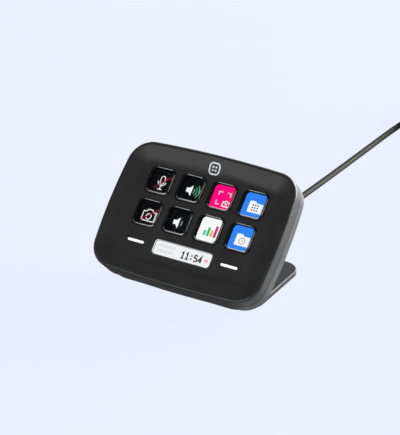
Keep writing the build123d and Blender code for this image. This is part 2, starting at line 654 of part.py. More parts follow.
def stand():
    """The foot: a flat plate whose front runs up the back of the case in a hollow curve."""
    top = STAND_UNDER + STAND_THICKNESS
    rear = HEEL_Y + STAND_REACH
    toe = HEEL_Y + (STAND_UNDER - HEEL_Z) / tan(SLOPE)
    crease = HEEL_Y + (top - HEEL_Z) / tan(SLOPE)
    run = NECK_BLEND / tan(SLOPE / 2)
    hollow_start = (crease + run, top)
    hollow_end = (crease + run * cos(SLOPE), top + run * sin(SLOPE))
    profile = make_face(
        [
            Line((toe, STAND_UNDER), (rear, STAND_UNDER)),
            Line((rear, STAND_UNDER), (rear, top)),
            Line((rear, top), hollow_start),
            TangentArc(hollow_start, hollow_end, tangent=(-1, 0)),
            Line(hollow_end, (toe, STAND_UNDER)),
        ]
    )
    solid = extrude(Plane.YZ * profile, STAND_WIDTH / 2, both=True)
    plan = Rectangle(STAND_WIDTH, rear - toe)
    plan = fillet(plan.vertices().group_by(Axis.Y)[-1], STAND_REAR_CORNER)
    plan = fillet(plan.vertices().group_by(Axis.Y)[0], STAND_FRONT_CORNER)
    solid &= Pos(0, (rear + toe) / 2, 0) * extrude(plan, BODY_HEIGHT)
    rim = [edge for edge in edges_at(solid, top) if edge.center().Y > hollow_start[0] + FIT]
    solid = fillet(rim, STAND_EDGE)
    solid -= pad_shape(PAD_FIT, 0, STAND_UNDER + PAD_RECESS)
    thread_end = BACK_INSIDE - STAND_SCREW_LENGTH - SCREW_CLEARANCE
    for centre in STAND_SCREWS:
        solid -= on_face(rod(STAND_SCREW_RADIUS + THREAD_FIT, thread_end, -BACK_DEPTH, centre))
    return solid


def pad_shape(extra, low, high):
    """The foot pad's shape, grown by extra all round."""
    front = HEEL_Y + PAD_FRONT_SETBACK
    rear = HEEL_Y + STAND_REACH - PAD_MARGIN
    width = STAND_WIDTH - 2 * PAD_MARGIN
    corner = STAND_REAR_CORNER - PAD_MARGIN
    return plate(
        width + 2 * extra, rear - front + 2 * extra, corner + extra, low, high, (0, (front + rear) / 2)
    )


def cable_boot():
    """The rubber boot: a collar held inside the outlet, a neck and a tapering tip."""
    wall_front = OUTLET_REAR - OUTLET_WALL
    boot = lying_rod(BOOT_COLLAR_RADIUS, COLLAR_FRONT, wall_front)
    boot += lying_rod(BOOT_NECK_RADIUS, wall_front, OUTLET_REAR)
    return boot + lying_rod(BOOT_NECK_RADIUS, OUTLET_REAR, BOOT_TIP, end_radius=BOOT_TIP_RADIUS)


def lead_wires():
    """The lead's wires from the boot's collar to their socket, side by side."""
    gap_z = (BACK_INSIDE + BOARD_BACK) / 2
    turn_y = HEEL_Y + (OUTLET_HEIGHT - HEEL_Z) / tan(SLOPE) - (gap_z + BACK_DEPTH) / sin(SLOPE)
    socket = face_point(0, BOARD_BOTTOM + WIRE_CONNECTOR_DEPTH, gap_z)
    wires = []
    for number in range(WIRE_COUNT):
        x = OUTLET_X + (number - (WIRE_COUNT - 1) / 2) * WIRE_PITCH
        points = [
            (x, COLLAR_FRONT, OUTLET_HEIGHT),
            (x, turn_y, OUTLET_HEIGHT),
            (x, socket.Y, socket.Z),
        ]
        wire, _ = tube(points, WIRE_RADIUS, [WIRE_BEND])
        wires.append(wire)
    return Compound(wires)


def coil_shape():
    """The outer shape of the coiled part of the lead, standing on its ties."""
    section = Pos(COIL_RADIUS, COIL_TALL / 2) * RectangleRounded(
        2 * COIL_HALF_WIDTH, COIL_TALL, COIL_EDGE
    )
    return Pos(*COIL_CENTRE, TIE_THICKNESS) * revolve(Plane.XZ * section, Axis.Z)


def cable_ties():
    """Flat straps round the coil's turns, one at each tie angle."""
    inside = COIL_RADIUS - COIL_HALF_WIDTH
    near = sqrt(inside**2 - (TIE_WIDTH / 2) ** 2) - FIT
    far = COIL_RADIUS + COIL_HALF_WIDTH + FIT
    outer = RectangleRounded(
        far - near + 2 * TIE_THICKNESS, COIL_TALL + 2 * TIE_THICKNESS, COIL_EDGE + TIE_THICKNESS
    )
    band = Pos((near + far) / 2, COIL_TALL / 2) * (
        outer - RectangleRounded(far - near, COIL_TALL, COIL_EDGE)
    )
    strap = extrude(Plane.XZ * band, TIE_WIDTH / 2, both=True)
    middle = Pos(*COIL_CENTRE, TIE_THICKNESS)
    return Compound([middle * Rot(0, 0, angle) * strap for angle in TIE_ANGLES])


def plug_frame(along):
    """The frame across the plug, along its axis from where the lead enters it."""
    last = TAIL_ROUTE[-1]
    heading = Vector(PLUG_END[0] - last[0], PLUG_END[1] - last[1], 0).normalized()
    entry = Vector(*PLUG_END, PLUG_THICKNESS / 2)
    across = heading.cross(Vector(0, 0, 1))
    return Plane(origin=entry + heading * along, x_dir=across, z_dir=heading).location


def plug_body():
    """The moulded grip of the plug with its tapered relief."""
    grip = plate(PLUG_WIDTH, PLUG_THICKNESS, PLUG_CORNER, 0, PLUG_LENGTH)
    grip = fillet(edges_at(grip, 0) + edges_at(grip, PLUG_LENGTH), PLUG_EDGE)
    relief_end = Pos(0, 0, PLUG_RELIEF_LENGTH) * Circle(PLUG_RELIEF_RADIUS)
    relief = loft([Circle(PLUG_RELIEF_TIP), relief_end])
    return plug_frame(0) * relief + plug_frame(PLUG_RELIEF_LENGTH) * grip


def plug_shell():
    """The thin metal shell of the plug."""
    corner = (SHELL_THICKNESS - FIT) / 2
    bore_width = SHELL_WIDTH - 2 * SHELL_WALL
    bore_tall = SHELL_THICKNESS - 2 * SHELL_WALL
    shell = plate(SHELL_WIDTH, SHELL_THICKNESS, corner, 0, SHELL_LENGTH)
    shell -= plate(bore_width, bore_tall, corner - SHELL_WALL, 0, SHELL_LENGTH)
    return plug_frame(PLUG_RELIEF_LENGTH + PLUG_LENGTH) * shell


def plug_insert():
    """The moulded contact carrier inside the plug's shell, slotted for the socket's tongue."""
    width = SHELL_WIDTH - 2 * SHELL_WALL - FIT
    tall = SHELL_THICKNESS - 2 * SHELL_WALL - FIT
    length = SHELL_LENGTH - INSERT_SETBACK
    insert = plate(width, tall, (tall - FIT) / 2, 0, length)
    insert -= Pos(0, 0, length - SLOT_DEPTH / 2) * Box(SLOT_WIDTH, SLOT_TALL, SLOT_DEPTH)
    return plug_frame(PLUG_RELIEF_LENGTH + PLUG_LENGTH) * insert


# ---- the whole part ----
coil_low = TIE_THICKNESS + CABLE_RADIUS
coil_high = TIE_THICKNESS + COIL_TALL - CABLE_RADIUS
coil_start = (COIL_CENTRE[0] - COIL_OUTER_TURN, COIL_CENTRE[1], coil_low)
coil_finish = (COIL_CENTRE[0], COIL_CENTRE[1] + COIL_OUTER_TURN, coil_high)
cable_points = [(OUTLET_X, BOOT_TIP, OUTLET_HEIGHT), *CABLE_ROUTE, coil_start]
tail_points = [coil_finish, *TAIL_ROUTE, (*PLUG_END, PLUG_THICKNESS / 2)]
cable, cable_path = tube(cable_points, CABLE_RADIUS, arc_radii(cable_points))
tail, tail_path = tube(tail_points, CABLE_RADIUS, arc_radii(tail_points))

pieces = {
    "front_cover": on_face(front_cover()),
    "rear_cover": rear_cover(),
    "dome_sheet": on_face(windowed_sheet(0, CONTACT_TOP, DOME_TOP)),
    "contact_sheet": on_face(windowed_sheet(FIT, PANEL_TOP, CONTACT_TOP)),
    "display_panel": on_face(stack_plate(GUIDE_TOP, PANEL_TOP)),
    "light_guide": on_face(stack_plate(TRAY_TOP, GUIDE_TOP)),
    "display_tray": on_face(display_tray()),
    "display_ribbon": on_face(display_ribbon()),
    "bar_window": on_face(bar_window()),
    "bar_display": on_face(bar_panel()),
    "touch_lens_left": on_face(touch_lens(TOUCH_CENTRES[0])),
    "touch_lens_right": on_face(touch_lens(TOUCH_CENTRES[1])),
    "touch_leds": on_face(touch_leds()),
    "touch_board": on_face(touch_board()),
    "board_link": on_face(board_link()),
    "main_board": on_face(main_board()),
    "board_chips": on_face(board_chips()),
    "board_sockets": on_face(board_sockets()),
    "case_screws": on_face(
        screws(CASE_SCREW_RADIUS, CASE_SCREW_LENGTH, CASE_SCREW_SEAT, CASE_BOSSES, Rot(180, 0, 0))
    ),
    "board_screws": on_face(
        screws(BOARD_SCREW_RADIUS, BOARD_SCREW_LENGTH, BOARD_FRONT, BOARD_POSTS)
    ),
    "stand_screws": on_face(
        screws(STAND_SCREW_RADIUS, STAND_SCREW_LENGTH, BACK_INSIDE, STAND_SCREWS)
    ),
    "stand": stand(),
    "foot_pad": pad_shape(0, 0, STAND_UNDER + PAD_RECESS),
    "cable_boot": cable_boot(),
    "lead_wires": lead_wires(),
    "cable": cable,
    "cable_coil": coil_shape(),
    "cable_ties": cable_ties(),
    "cable_tail": tail,
    "plug_body": plug_body(),
    "plug_shell": plug_shell(),
    "plug_insert": plug_insert(),
}
for number, centre in enumerate(KEY_CENTRES):
    row, column = divmod(number, KEY_COLUMNS)
    pieces[f"key_{row + 1}_{column + 1}"] = on_face(key(centre))

os.makedirs("parts", exist_ok=True)
for name, piece in pieces.items():
    export_step(piece, f"parts/{name}.step")

section_area = pi * CABLE_RADIUS**2
for name, solid, path, points in (
    ("cable", cable, cable_path, cable_points),
    ("cable_tail", tail, tail_path, tail_points),
):
    radii = [round(radius, 1) for radius in arc_radii(points)]
    fill = round(solid.volume / section_area / path.length, 4)
    print(name, "bend radii", radii, "volume over section times length", fill)
coiled = COIL_TURNS * 2 * pi * COIL_RADIUS
print("length of the lead", round(cable_path.length + coiled + tail_path.length, 1))
print("centre of the face", round(FACE_Y, 3), round(FACE_Z, 3), "boot tip", round(BOOT_TIP, 3))
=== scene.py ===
from math import atan, atan2, cos, hypot, pi, radians, sin, tan

import bpy
import numpy as np
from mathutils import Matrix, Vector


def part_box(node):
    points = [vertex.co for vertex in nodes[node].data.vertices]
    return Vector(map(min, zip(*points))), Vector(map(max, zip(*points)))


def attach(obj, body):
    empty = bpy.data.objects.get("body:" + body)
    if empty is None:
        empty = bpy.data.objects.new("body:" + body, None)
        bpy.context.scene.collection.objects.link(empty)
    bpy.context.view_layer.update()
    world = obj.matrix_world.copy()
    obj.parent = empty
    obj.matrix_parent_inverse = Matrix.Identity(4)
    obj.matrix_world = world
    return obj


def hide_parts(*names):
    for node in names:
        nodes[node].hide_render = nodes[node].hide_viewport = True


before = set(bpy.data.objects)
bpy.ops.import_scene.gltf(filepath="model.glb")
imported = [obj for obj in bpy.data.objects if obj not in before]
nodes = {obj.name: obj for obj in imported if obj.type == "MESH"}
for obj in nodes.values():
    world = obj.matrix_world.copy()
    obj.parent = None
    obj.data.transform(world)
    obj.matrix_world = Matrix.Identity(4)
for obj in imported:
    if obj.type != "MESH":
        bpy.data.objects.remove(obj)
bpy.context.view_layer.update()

# ---- where the face stands ----
# The face leans back at 45 degrees. Its frame is in millimetres, with X along the face, Y up it and
# Z out of it, from the middle of the key field. The middle of the display, known in it, places it.
FACE_SLOPE = radians(45)
DISPLAY_UP = 7.6
DISPLAY_OUT = -4.9
panel_low, panel_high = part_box("display_panel")
panel_y = 1000 * (panel_low.y + panel_high.y) / 2
panel_z = 1000 * (panel_low.z + panel_high.z) / 2
face_y = panel_y - DISPLAY_UP * cos(FACE_SLOPE) + DISPLAY_OUT * sin(FACE_SLOPE)
face_z = panel_z - DISPLAY_UP * sin(FACE_SLOPE) - DISPLAY_OUT * cos(FACE_SLOPE)


def on_face(across, up, out):
    """Places in the face frame, in millimetres, as points in metres: up and out turned by the slope."""
    across, up, out = np.broadcast_arrays(across, up, out)
    y = face_y + up * cos(FACE_SLOPE) - out * sin(FACE_SLOPE)
    z = face_z + up * sin(FACE_SLOPE) + out * cos(FACE_SLOPE)
    return np.stack([across, y, z], axis=-1) / 1000


# ---- camera ----
# It stands to the right of the keypad and looks down on it, far off with a long lens. Its place is
# in metres from the middle of the face: back along the view, to its right and upwards.
VIEW_TURN = radians(30.76)
VIEW_DOWN = radians(26.70)
VIEW_BACK = 0.91609
VIEW_RIGHT = 0.00302
VIEW_UP = 0.00200
FOCAL_LENGTH = 1700  # in pixels of a picture 400 wide and 435 high
PICTURE_HEIGHT = 435
SENSOR = 36.0
away = np.array([sin(VIEW_TURN) * cos(VIEW_DOWN), -cos(VIEW_TURN) * cos(VIEW_DOWN), sin(VIEW_DOWN)])
right = np.array([cos(VIEW_TURN), sin(VIEW_TURN), 0])
camera_data = bpy.data.cameras.new("camera")
camera_data.sensor_width = SENSOR
camera_data.lens = FOCAL_LENGTH / PICTURE_HEIGHT * SENSOR
camera = bpy.data.objects.new("camera", camera_data)
camera.location = (
    np.array([0, face_y, face_z]) / 1000
    + VIEW_BACK * away
    + VIEW_RIGHT * right
    + VIEW_UP * np.cross(away, right)
)
camera.rotation_euler = (pi / 2 - VIEW_DOWN, 0, VIEW_TURN)
bpy.context.scene.collection.objects.link(camera)
bpy.context.scene.camera = camera


# ---- the lead ----
# A round USB lead in a soft dark grey jacket, captive in the case. It drops from its boot to the
# desk, runs away behind the keypad, and the rest lies wound in four layers, tied, with its plug.
# All its sizes are in metres.
LEAD_DIAMETER = 0.0038
LEAD_EXIT = (0.0, 0.010473, 0.0144)
LEAD_ROUTE = (
    LEAD_EXIT,
    (0.0, 0.022, 0.0144),
    (0.0006, 0.037, 0.0108),
    (0.0012, 0.053, 0.0045),
    (0.0020, 0.070, 0.0019),
    (0.0034, 0.097, 0.0019),
    (0.0056, 0.142, 0.0019),
    (0.0074, 0.190, 0.0019),
    (0.0088, 0.232, 0.00195),
    (0.0112, 0.252, 0.0025),
)
TAIL_ROUTE = (
    (0.0520, 0.2937, 0.0131),
    (0.0670, 0.2903, 0.0098),
    (0.0755, 0.2805, 0.0058),
    (0.0774, 0.2690, 0.0031),
    (0.0779, 0.2590, 0.0031),
)
COIL_MIDDLE = (0.0381, 0.268)
COIL_LAYERS = 4
COIL_TURNS = 9.25
COIL_OUTER = 0.025294
COIL_INNER = 0.0165065
COIL_LOW = 0.0026
TURN_POINTS = 16  # points of the line in one turn of the coil
RISE_SHARE = 0.06  # part of a layer over which the lead climbs, each side of the change
JACKET_COLOUR = (0.0085, 0.0085, 0.009, 1)
SHEEN_GRAIN = 90.0  # patches of uneven sheen in a metre, nearly
SHEEN_SHARE = 0.5  # how much of the tone they carry, beside the fine grain
SHEEN_ROUGHNESS = 0.4
NOISE_MIDDLE = 0.5
TONE_GAIN = 4.0  # noise keeps near its middle, and this draws it out to the full tone


def coil_points():
    """Points round the coil. Radius: a triangle wave, in and out once per two layers. Height: one
    diameter per layer, climbed smoothly round each change of layer. The turns run clockwise."""
    count = round(COIL_TURNS * TURN_POINTS)
    turn = np.arange(count + 1) / TURN_POINTS
    layer = turn * COIL_LAYERS / COIL_TURNS
    inward = 1 - np.abs(1 - layer % 2)
    radius = (COIL_OUTER - (COIL_OUTER - COIL_INNER) * inward) / cos(pi / TURN_POINTS)
    change = np.clip(np.round(layer), 1, COIL_LAYERS - 1)
    climb = np.clip((layer - change) / (2 * RISE_SHARE) + 0.5, 0, 1)
    level = change - 1 + climb**2 * (3 - 2 * climb)
    angle = pi - 2 * pi * turn
    x = COIL_MIDDLE[0] + radius * np.cos(angle)
    y = COIL_MIDDLE[1] + radius * np.sin(angle)
    return np.stack([x, y, COIL_LOW + level * LEAD_DIAMETER], axis=-1)


def new_group(name, inputs, outputs):
    """An empty group of shader nodes with named inputs, each with its usual value, and outputs."""
    group = bpy.data.node_groups.new(name, "ShaderNodeTree")
    for label, kind, value in inputs:
        socket = group.interface.new_socket(label, in_out="INPUT", socket_type=kind)
        socket.default_value = value
    for label, kind in outputs:
        group.interface.new_socket(label, in_out="OUTPUT", socket_type=kind)
    return group, group.nodes.new("NodeGroupInput"), group.nodes.new("NodeGroupOutput")


def add_node(tree, kind, inputs=(), **settings):
    """One node in a tree: inputs by name or number take a value or another node's output."""
    node = tree.nodes.new(kind)
    for key, value in settings.items():
        setattr(node, key, value)
    for key, value in dict(inputs).items():
        if isinstance(value, bpy.types.NodeSocket):
            tree.links.new(value, node.inputs[key])
        else:
            node.inputs[key].default_value = value
    return node


def calculate(tree, operation, *values):
    """The output of one Math node."""
    return add_node(tree, "ShaderNodeMath", enumerate(values), operation=operation).outputs[0]


def grain_group():
    """Moulded grain: fine noise for the texture of the mould, slow noise for uneven sheen. The tone
    goes up and down by its share with the grain, and so does the roughness."""
    group, given, result = new_group(
        "moulded_grain",
        [
            ("Colour", "NodeSocketColor", (0.02, 0.02, 0.02, 1)),
            ("Tone", "NodeSocketFloat", 0.2),
            ("Grain", "NodeSocketFloat", 2500.0),
            ("Roughness", "NodeSocketFloat", 0.5),
        ],
        [("Colour", "NodeSocketColor"), ("Roughness", "NodeSocketFloat"), ("Height", "NodeSocketFloat")],
    )
    place = add_node(group, "ShaderNodeTexCoord").outputs["Object"]
    fine = add_node(
        group, "ShaderNodeTexNoise", {"Vector": place, "Scale": given.outputs["Grain"], "Detail": 3.0}
    ).outputs["Fac"]
    slow = add_node(
        group, "ShaderNodeTexNoise", {"Vector": place, "Scale": SHEEN_GRAIN, "Detail": 2.0}
    ).outputs["Fac"]
    swing = calculate(group, "SUBTRACT", fine, NOISE_MIDDLE)
    drift = calculate(group, "MULTIPLY", calculate(group, "SUBTRACT", slow, NOISE_MIDDLE), SHEEN_SHARE)
    tone = calculate(group, "MULTIPLY", calculate(group, "ADD", swing, drift), given.outputs["Tone"])
    share = calculate(group, "ADD", calculate(group, "MULTIPLY", tone, TONE_GAIN), 1.0)
    colour = add_node(
        group, "ShaderNodeVectorMath", {0: given.outputs["Colour"], "Scale": share}, operation="SCALE"
    )
    sheen = calculate(group, "MULTIPLY", drift, SHEEN_ROUGHNESS)
    rough = calculate(group, "ADD", sheen, given.outputs["Roughness"])
    group.links.new(colour.outputs[0], result.inputs["Colour"])
    group.links.new(rough, result.inputs["Roughness"])
    group.links.new(fine, result.inputs["Height"])
    return group


moulded_grain = grain_group()


def surface(name, **sockets):
    """A material with one Principled shader, whose sockets take plain values, and its node tree."""
    material = bpy.data.materials.new(name)
    material.use_nodes = True
    shader = material.node_tree.nodes["Principled BSDF"]
    for label, value in sockets.items():
        shader.inputs[label.replace("_", " ")].default_value = value
    return material, material.node_tree, shader


def moulded(name, colour, roughness, tone=0.15, grain=2500.0, depth=0.02, **sockets):
    """A moulded plastic or rubber: the shared grain on its colour, its roughness and, as deep as
    given in millimetres, its relief."""
    material, tree, shader = surface(name, **sockets)
    effect = add_node(tree, "ShaderNodeGroup", node_tree=moulded_grain)
    effect.inputs["Colour"].default_value = colour
    effect.inputs["Tone"].default_value = tone
    effect.inputs["Grain"].default_value = grain
    effect.inputs["Roughness"].default_value = roughness
    bump = add_node(
        tree, "ShaderNodeBump", {"Height": effect.outputs["Height"], "Distance": depth / 1000}
    )
    tree.links.new(effect.outputs["Colour"], shader.inputs["Base Color"])
    tree.links.new(effect.outputs["Roughness"], shader.inputs["Roughness"])
    tree.links.new(bump.outputs["Normal"], shader.inputs["Normal"])
    return material


jacket = moulded(
    "lead_jacket",
    JACKET_COLOUR,
    roughness=0.6,
    tone=0.1,
    grain=1800.0,
    depth=0.03,
    Specular_IOR_Level=0.12,
)
lead_points = np.array([*LEAD_ROUTE, *coil_points(), *TAIL_ROUTE])
lead_data = bpy.data.curves.new("lead", "CURVE")
lead_data.dimensions = "3D"
lead_data.bevel_depth = LEAD_DIAMETER / 2
lead_data.bevel_resolution = 4
lead_data.resolution_u = 6
lead_data.use_fill_caps = True
lead_line = lead_data.splines.new("NURBS")
lead_line.points.add(len(lead_points) - 1)
lead_weights = np.ones(len(lead_points))
lead_line.points.foreach_set("co", np.column_stack([lead_points, lead_weights]).ravel())
lead_line.order_u = 3
lead_line.use_endpoint_u = True
lead = bpy.data.objects.new("lead", lead_data)
bpy.context.scene.collection.objects.link(lead)
lead_data.materials.append(jacket)
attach(lead, "case")
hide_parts("cable", "cable_coil", "cable_tail")


# ---- the boot of the lead ----
# A rubber strain relief: its collar is held inside the outlet, and outside the case it tapers to
# the lead, with rings cut into it so that it bends. Its sizes, and those of all the pieces that
# follow, are in millimetres.
BOOT_TIP = 1000 * LEAD_EXIT[1]
BOOT_HEIGHT = 1000 * LEAD_EXIT[2]
BOOT_LENGTH = 15.6
COLLAR_LENGTH = 1.6
NECK_LENGTH = 2.0  # the part that passes through the wall
COLLAR_RADIUS = 3.9
NECK_RADIUS = 3.1
TIP_RADIUS = 2.35
AXIS_RADIUS = 0.001  # the flat ends close round a point on the axis
RINGS = 5
RINGS_START = 0.1  # where the rings start on the taper, as a share of it
RINGS_SPAN = 0.8  # and the share that they take up
RING_DEPTH = 0.35
RING_FADE = 0.4  # the last ring is shallower by this share
TAPER_STEPS = 101
AROUND = 48  # points round the boot
SHARP_ANGLE = radians(35)  # an edge that turns more than this stays sharp


def add_mesh(name, points, faces, material, body="case", smooth=True):
    """A mesh from points in metres and faces, with one material, that rides on a body."""
    data = bpy.data.meshes.new(name)
    data.from_pydata(np.asarray(points).reshape(-1, 3).tolist(), [], faces)
    data.polygons.foreach_set("use_smooth", np.full(len(data.polygons), smooth))
    data.materials.append(material)
    data.update()
    data.set_sharp_from_angle(angle=SHARP_ANGLE)
    piece = bpy.data.objects.new(name, data)
    bpy.context.scene.collection.objects.link(piece)
    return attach(piece, body)


def turned_faces(rings, around):
    """The quads between neighbouring rings of points, closed round each ring."""
    ring, step = np.meshgrid(np.arange(rings - 1), np.arange(around), indexing="ij")
    here = ring * around + step
    beside = ring * around + (step + 1) % around
    quads = np.stack([here, beside, beside + around, here + around], axis=-1)
    return quads.reshape(-1, 4).tolist()


def turned_on_outlet(along, radius):
    """Rings of points about the outlet's axis: at each place along it, a circle of that radius."""
    angle = np.linspace(0, 2 * pi, AROUND, endpoint=False)
    x = radius[:, None] * np.sin(angle)
    z = BOOT_HEIGHT + radius[:, None] * np.cos(angle)
    y = np.broadcast_to(along[:, None], x.shape)
    return np.stack([x, y, z], axis=-1) / 1000


boot_front = BOOT_TIP - BOOT_LENGTH
boot_wall = boot_front + COLLAR_LENGTH
boot_rear = boot_wall + NECK_LENGTH
taper = np.linspace(0, 1, TAPER_STEPS)
groove_turn = RINGS * np.clip((taper - RINGS_START) / RINGS_SPAN, 0, 1)
groove = (0.5 - 0.5 * np.cos(2 * pi * groove_turn)) ** 3
taper_radius = (
    NECK_RADIUS
    + (TIP_RADIUS - NECK_RADIUS) * taper
    - RING_DEPTH * groove * (1 - RING_FADE * taper)
)
boot_along = np.concatenate(
    [
        [boot_front, boot_front, boot_wall, boot_wall],
        boot_rear + (BOOT_TIP - boot_rear) * taper,
        [BOOT_TIP],
    ]
)
boot_radius = np.concatenate(
    [
        [AXIS_RADIUS, COLLAR_RADIUS, COLLAR_RADIUS, NECK_RADIUS],
        taper_radius,
        [AXIS_RADIUS],
    ]
)
boot = add_mesh(
    "cable_boot_ribbed",
    turned_on_outlet(boot_along, boot_radius),
    turned_faces(len(boot_along), AROUND),
    moulded("boot_rubber", JACKET_COLOUR, roughness=0.6, tone=0.1, grain=2200.0, depth=0.02),
)
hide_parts("cable_boot")


# ---- ties and plug on the lead ----
# Two flat woven straps hold the coil. The plug is a small overmoulded grip with a plated shell
# pressed from sheet, and a moulded insert inside it that carries the contacts.
STRAP_COLOUR = (0.03, 0.03, 0.03)
GRIP_COLOUR = (0.018, 0.018, 0.019, 1)
PLATING_COLOUR = (0.68, 0.68, 0.69)
CARRIER_COLOUR = (0.015, 0.015, 0.016, 1)
THREAD_RELIEF = 0.1
GAP_PAINTED_SHADE = 0.5  # painted shade: colour between the threads, as a share of their own
STREAK_SHADE = 0.75  # tone of the dark streaks of a metal over its own
STREAK_ROUGHNESS = 0.2
STREAK_SCALE = (60, 4000, 4000)  # noise along and across the streaks


def dress(material, *names):
    """Give a material to CAD nodes."""
    for name in names:
        nodes[name].data.materials.clear()
        nodes[name].data.materials.append(material)


def woven(name, colour, threads):
    """A woven strap: two crossed sets of threads, as waves, lift the surface, and its colour is lighter
    on them and darker between them, as painted shade in the gaps.
    """
    material, tree, shader = surface(name, Roughness=0.85)
    place = add_node(tree, "ShaderNodeTexCoord").outputs["Object"]
    waves = [
        add_node(
            tree,
            "ShaderNodeTexWave",
            {"Vector": place, "Scale": threads, "Distortion": 0.6},
            bands_direction=direction,
        ).outputs["Fac"]
        for direction in ("DIAGONAL", "Z")
    ]
    weave = calculate(tree, "MULTIPLY", *waves)
    # Painted shade: the gaps between the threads take a darker copy of the colour.
    dark = [GAP_PAINTED_SHADE * channel for channel in colour]
    tint = add_node(
        tree, "ShaderNodeMix", {"Factor": weave, "A": (*dark, 1), "B": (*colour, 1)}, data_type="RGBA"
    )
    bump = add_node(tree, "ShaderNodeBump", {"Height": weave, "Distance": THREAD_RELIEF / 1000})
    tree.links.new(tint.outputs["Result"], shader.inputs["Base Color"])
    tree.links.new(bump.outputs["Normal"], shader.inputs["Normal"])
    return material


def brushed(name, colour, roughness, turn=(0, 0, 0)):
    """Rolled or plated metal: noise drawn out along one direction varies its tone and roughness."""
    material, tree, shader = surface(name, Metallic=1.0)
    place = add_node(tree, "ShaderNodeTexCoord").outputs["Object"]
    drawn = add_node(
        tree, "ShaderNodeMapping", {"Vector": place, "Rotation": turn, "Scale": STREAK_SCALE}
    )
    streaks = add_node(
        tree, "ShaderNodeTexNoise", {"Vector": drawn.outputs[0], "Scale": 1.0, "Detail": 3.0}
    ).outputs["Fac"]
    dark = [STREAK_SHADE * channel for channel in colour]
    tint = add_node(
        tree, "ShaderNodeMix", {"Factor": streaks, "A": (*dark, 1), "B": (*colour, 1)}, data_type="RGBA"
    )
    swing = calculate(tree, "MULTIPLY", streaks, STREAK_ROUGHNESS)
    rough = calculate(tree, "ADD", swing, roughness - STREAK_ROUGHNESS / 2)
    tree.links.new(tint.outputs["Result"], shader.inputs["Base Color"])
    tree.links.new(rough, shader.inputs["Roughness"])
    return material


dress(woven("tie_strap", STRAP_COLOUR, threads=900.0), "cable_ties")
dress(moulded("plug_grip", GRIP_COLOUR, roughness=0.62, Specular_IOR_Level=0.2), "plug_body")
dress(brushed("plug_plating", PLATING_COLOUR, roughness=0.25), "plug_shell")
dress(moulded("plug_carrier", CARRIER_COLOUR, roughness=0.35, tone=0.08), "plug_insert")


# ---- foot and foot pad ----
# The foot is one heavy moulding, screwed to the back of the case from inside. The rubber pad is
# pressed into its underside and is all that touches the desk.
STAND_COLOUR = (0.0125, 0.0122, 0.0118, 1)
PAD_COLOUR = (0.02, 0.02, 0.02, 1)
stand_plastic = moulded(
    "stand_plastic",
    STAND_COLOUR,
    roughness=0.55,
    tone=0.22,
    grain=2000.0,
    Specular_IOR_Level=0.4,
)
pad_rubber = moulded("pad_rubber", PAD_COLOUR, roughness=0.8, tone=0.25, grain=3500.0, depth=0.05)
dress(stand_plastic, "stand")
dress(pad_rubber, "foot_pad")


# ---- covers and their screws ----
# Both covers are moulded in one charcoal plastic with a fine matt grain. The rear one is coloured
# over twice as light, as painted light on its sides. Blackened screws hold them together from
# behind, hold the board, and hold the foot.
CASE_COLOUR = (0.0198, 0.0190, 0.0182, 1)
# Painted light: the rear cover's colour is over twice the front's, so that its sides look lit.
REAR_PAINTED_LIGHT_COLOUR = (0.047, 0.0455, 0.0435, 1)
SCREW_COLOUR = (0.16, 0.16, 0.165)
dress(moulded("case_plastic", CASE_COLOUR, roughness=0.45, tone=0.22, grain=2200.0), "front_cover")
dress(moulded("rear_plastic_painted_light", REAR_PAINTED_LIGHT_COLOUR, roughness=0.45, tone=0.22, grain=2200.0), "rear_cover")
screw_steel = brushed("screw_steel", SCREW_COLOUR, roughness=0.4)
dress(screw_steel, "case_screws", "board_screws", "stand_screws")


# ---- boards ----
# Two green boards with tracks, black moulded chips and sockets, and pale lamps under the touch
# bars. An amber ribbon joins the display to the main board, and four wires join the lead to it.
TRACK_CELLS = 350.0  # cells of the pattern in a metre, nearly
CELL_TRACKS = 4
TRACK_GAP = 0.6  # share of the pitch that is bare between two tracks
TRACK_RELIEF = 0.03
BOARD_GREEN = (0.004, 0.045, 0.018, 1)
TRACK_GREEN = (0.012, 0.11, 0.04, 1)
CHIP_COLOUR = (0.018, 0.018, 0.02, 1)
LAMP_COLOUR = (0.85, 0.80, 0.55, 1)
RIBBON_COLOUR = (0.42, 0.17, 0.03, 1)
WIRE_COLOUR = (0.09, 0.09, 0.09, 1)


def circuit_board(name):
    """Solder resist over copper: tracks lie raised round each cell of a pattern, one inside the
    other, where the distance to the cell's middle, measured square, repeats."""
    material, tree, shader = surface(name, Roughness=0.35)
    place = add_node(tree, "ShaderNodeTexCoord").outputs["Object"]
    turned = add_node(tree, "ShaderNodeMapping", {"Vector": place, "Rotation": (-FACE_SLOPE, 0, 0)})
    cells = add_node(
        tree,
        "ShaderNodeTexVoronoi",
        {"Vector": turned.outputs[0], "Scale": TRACK_CELLS, "Randomness": 0.8},
        distance="MANHATTAN",
    ).outputs["Distance"]
    repeat = calculate(tree, "FRACT", calculate(tree, "MULTIPLY", cells, CELL_TRACKS))
    tracks = calculate(tree, "GREATER_THAN", repeat, TRACK_GAP)
    tint = add_node(
        tree, "ShaderNodeMix", {"Factor": tracks, "A": BOARD_GREEN, "B": TRACK_GREEN}, data_type="RGBA"
    )
    bump = add_node(tree, "ShaderNodeBump", {"Height": tracks, "Distance": TRACK_RELIEF / 1000})
    tree.links.new(tint.outputs["Result"], shader.inputs["Base Color"])
    tree.links.new(bump.outputs["Normal"], shader.inputs["Normal"])
    return material


dress(circuit_board("circuit_board"), "main_board", "touch_board")
chip_package = moulded("chip_package", CHIP_COLOUR, roughness=0.5, tone=0.3, grain=5000.0)
dress(chip_package, "board_chips", "board_sockets", "board_link")
dress(moulded("lamp_resin", LAMP_COLOUR, roughness=0.25, tone=0.06), "touch_leds")
dress(moulded("ribbon_film", RIBBON_COLOUR, roughness=0.35, tone=0.1, grain=900.0), "display_ribbon")
dress(moulded("wire_sleeve", WIRE_COLOUR, roughness=0.5, tone=0.1), "lead_wires")


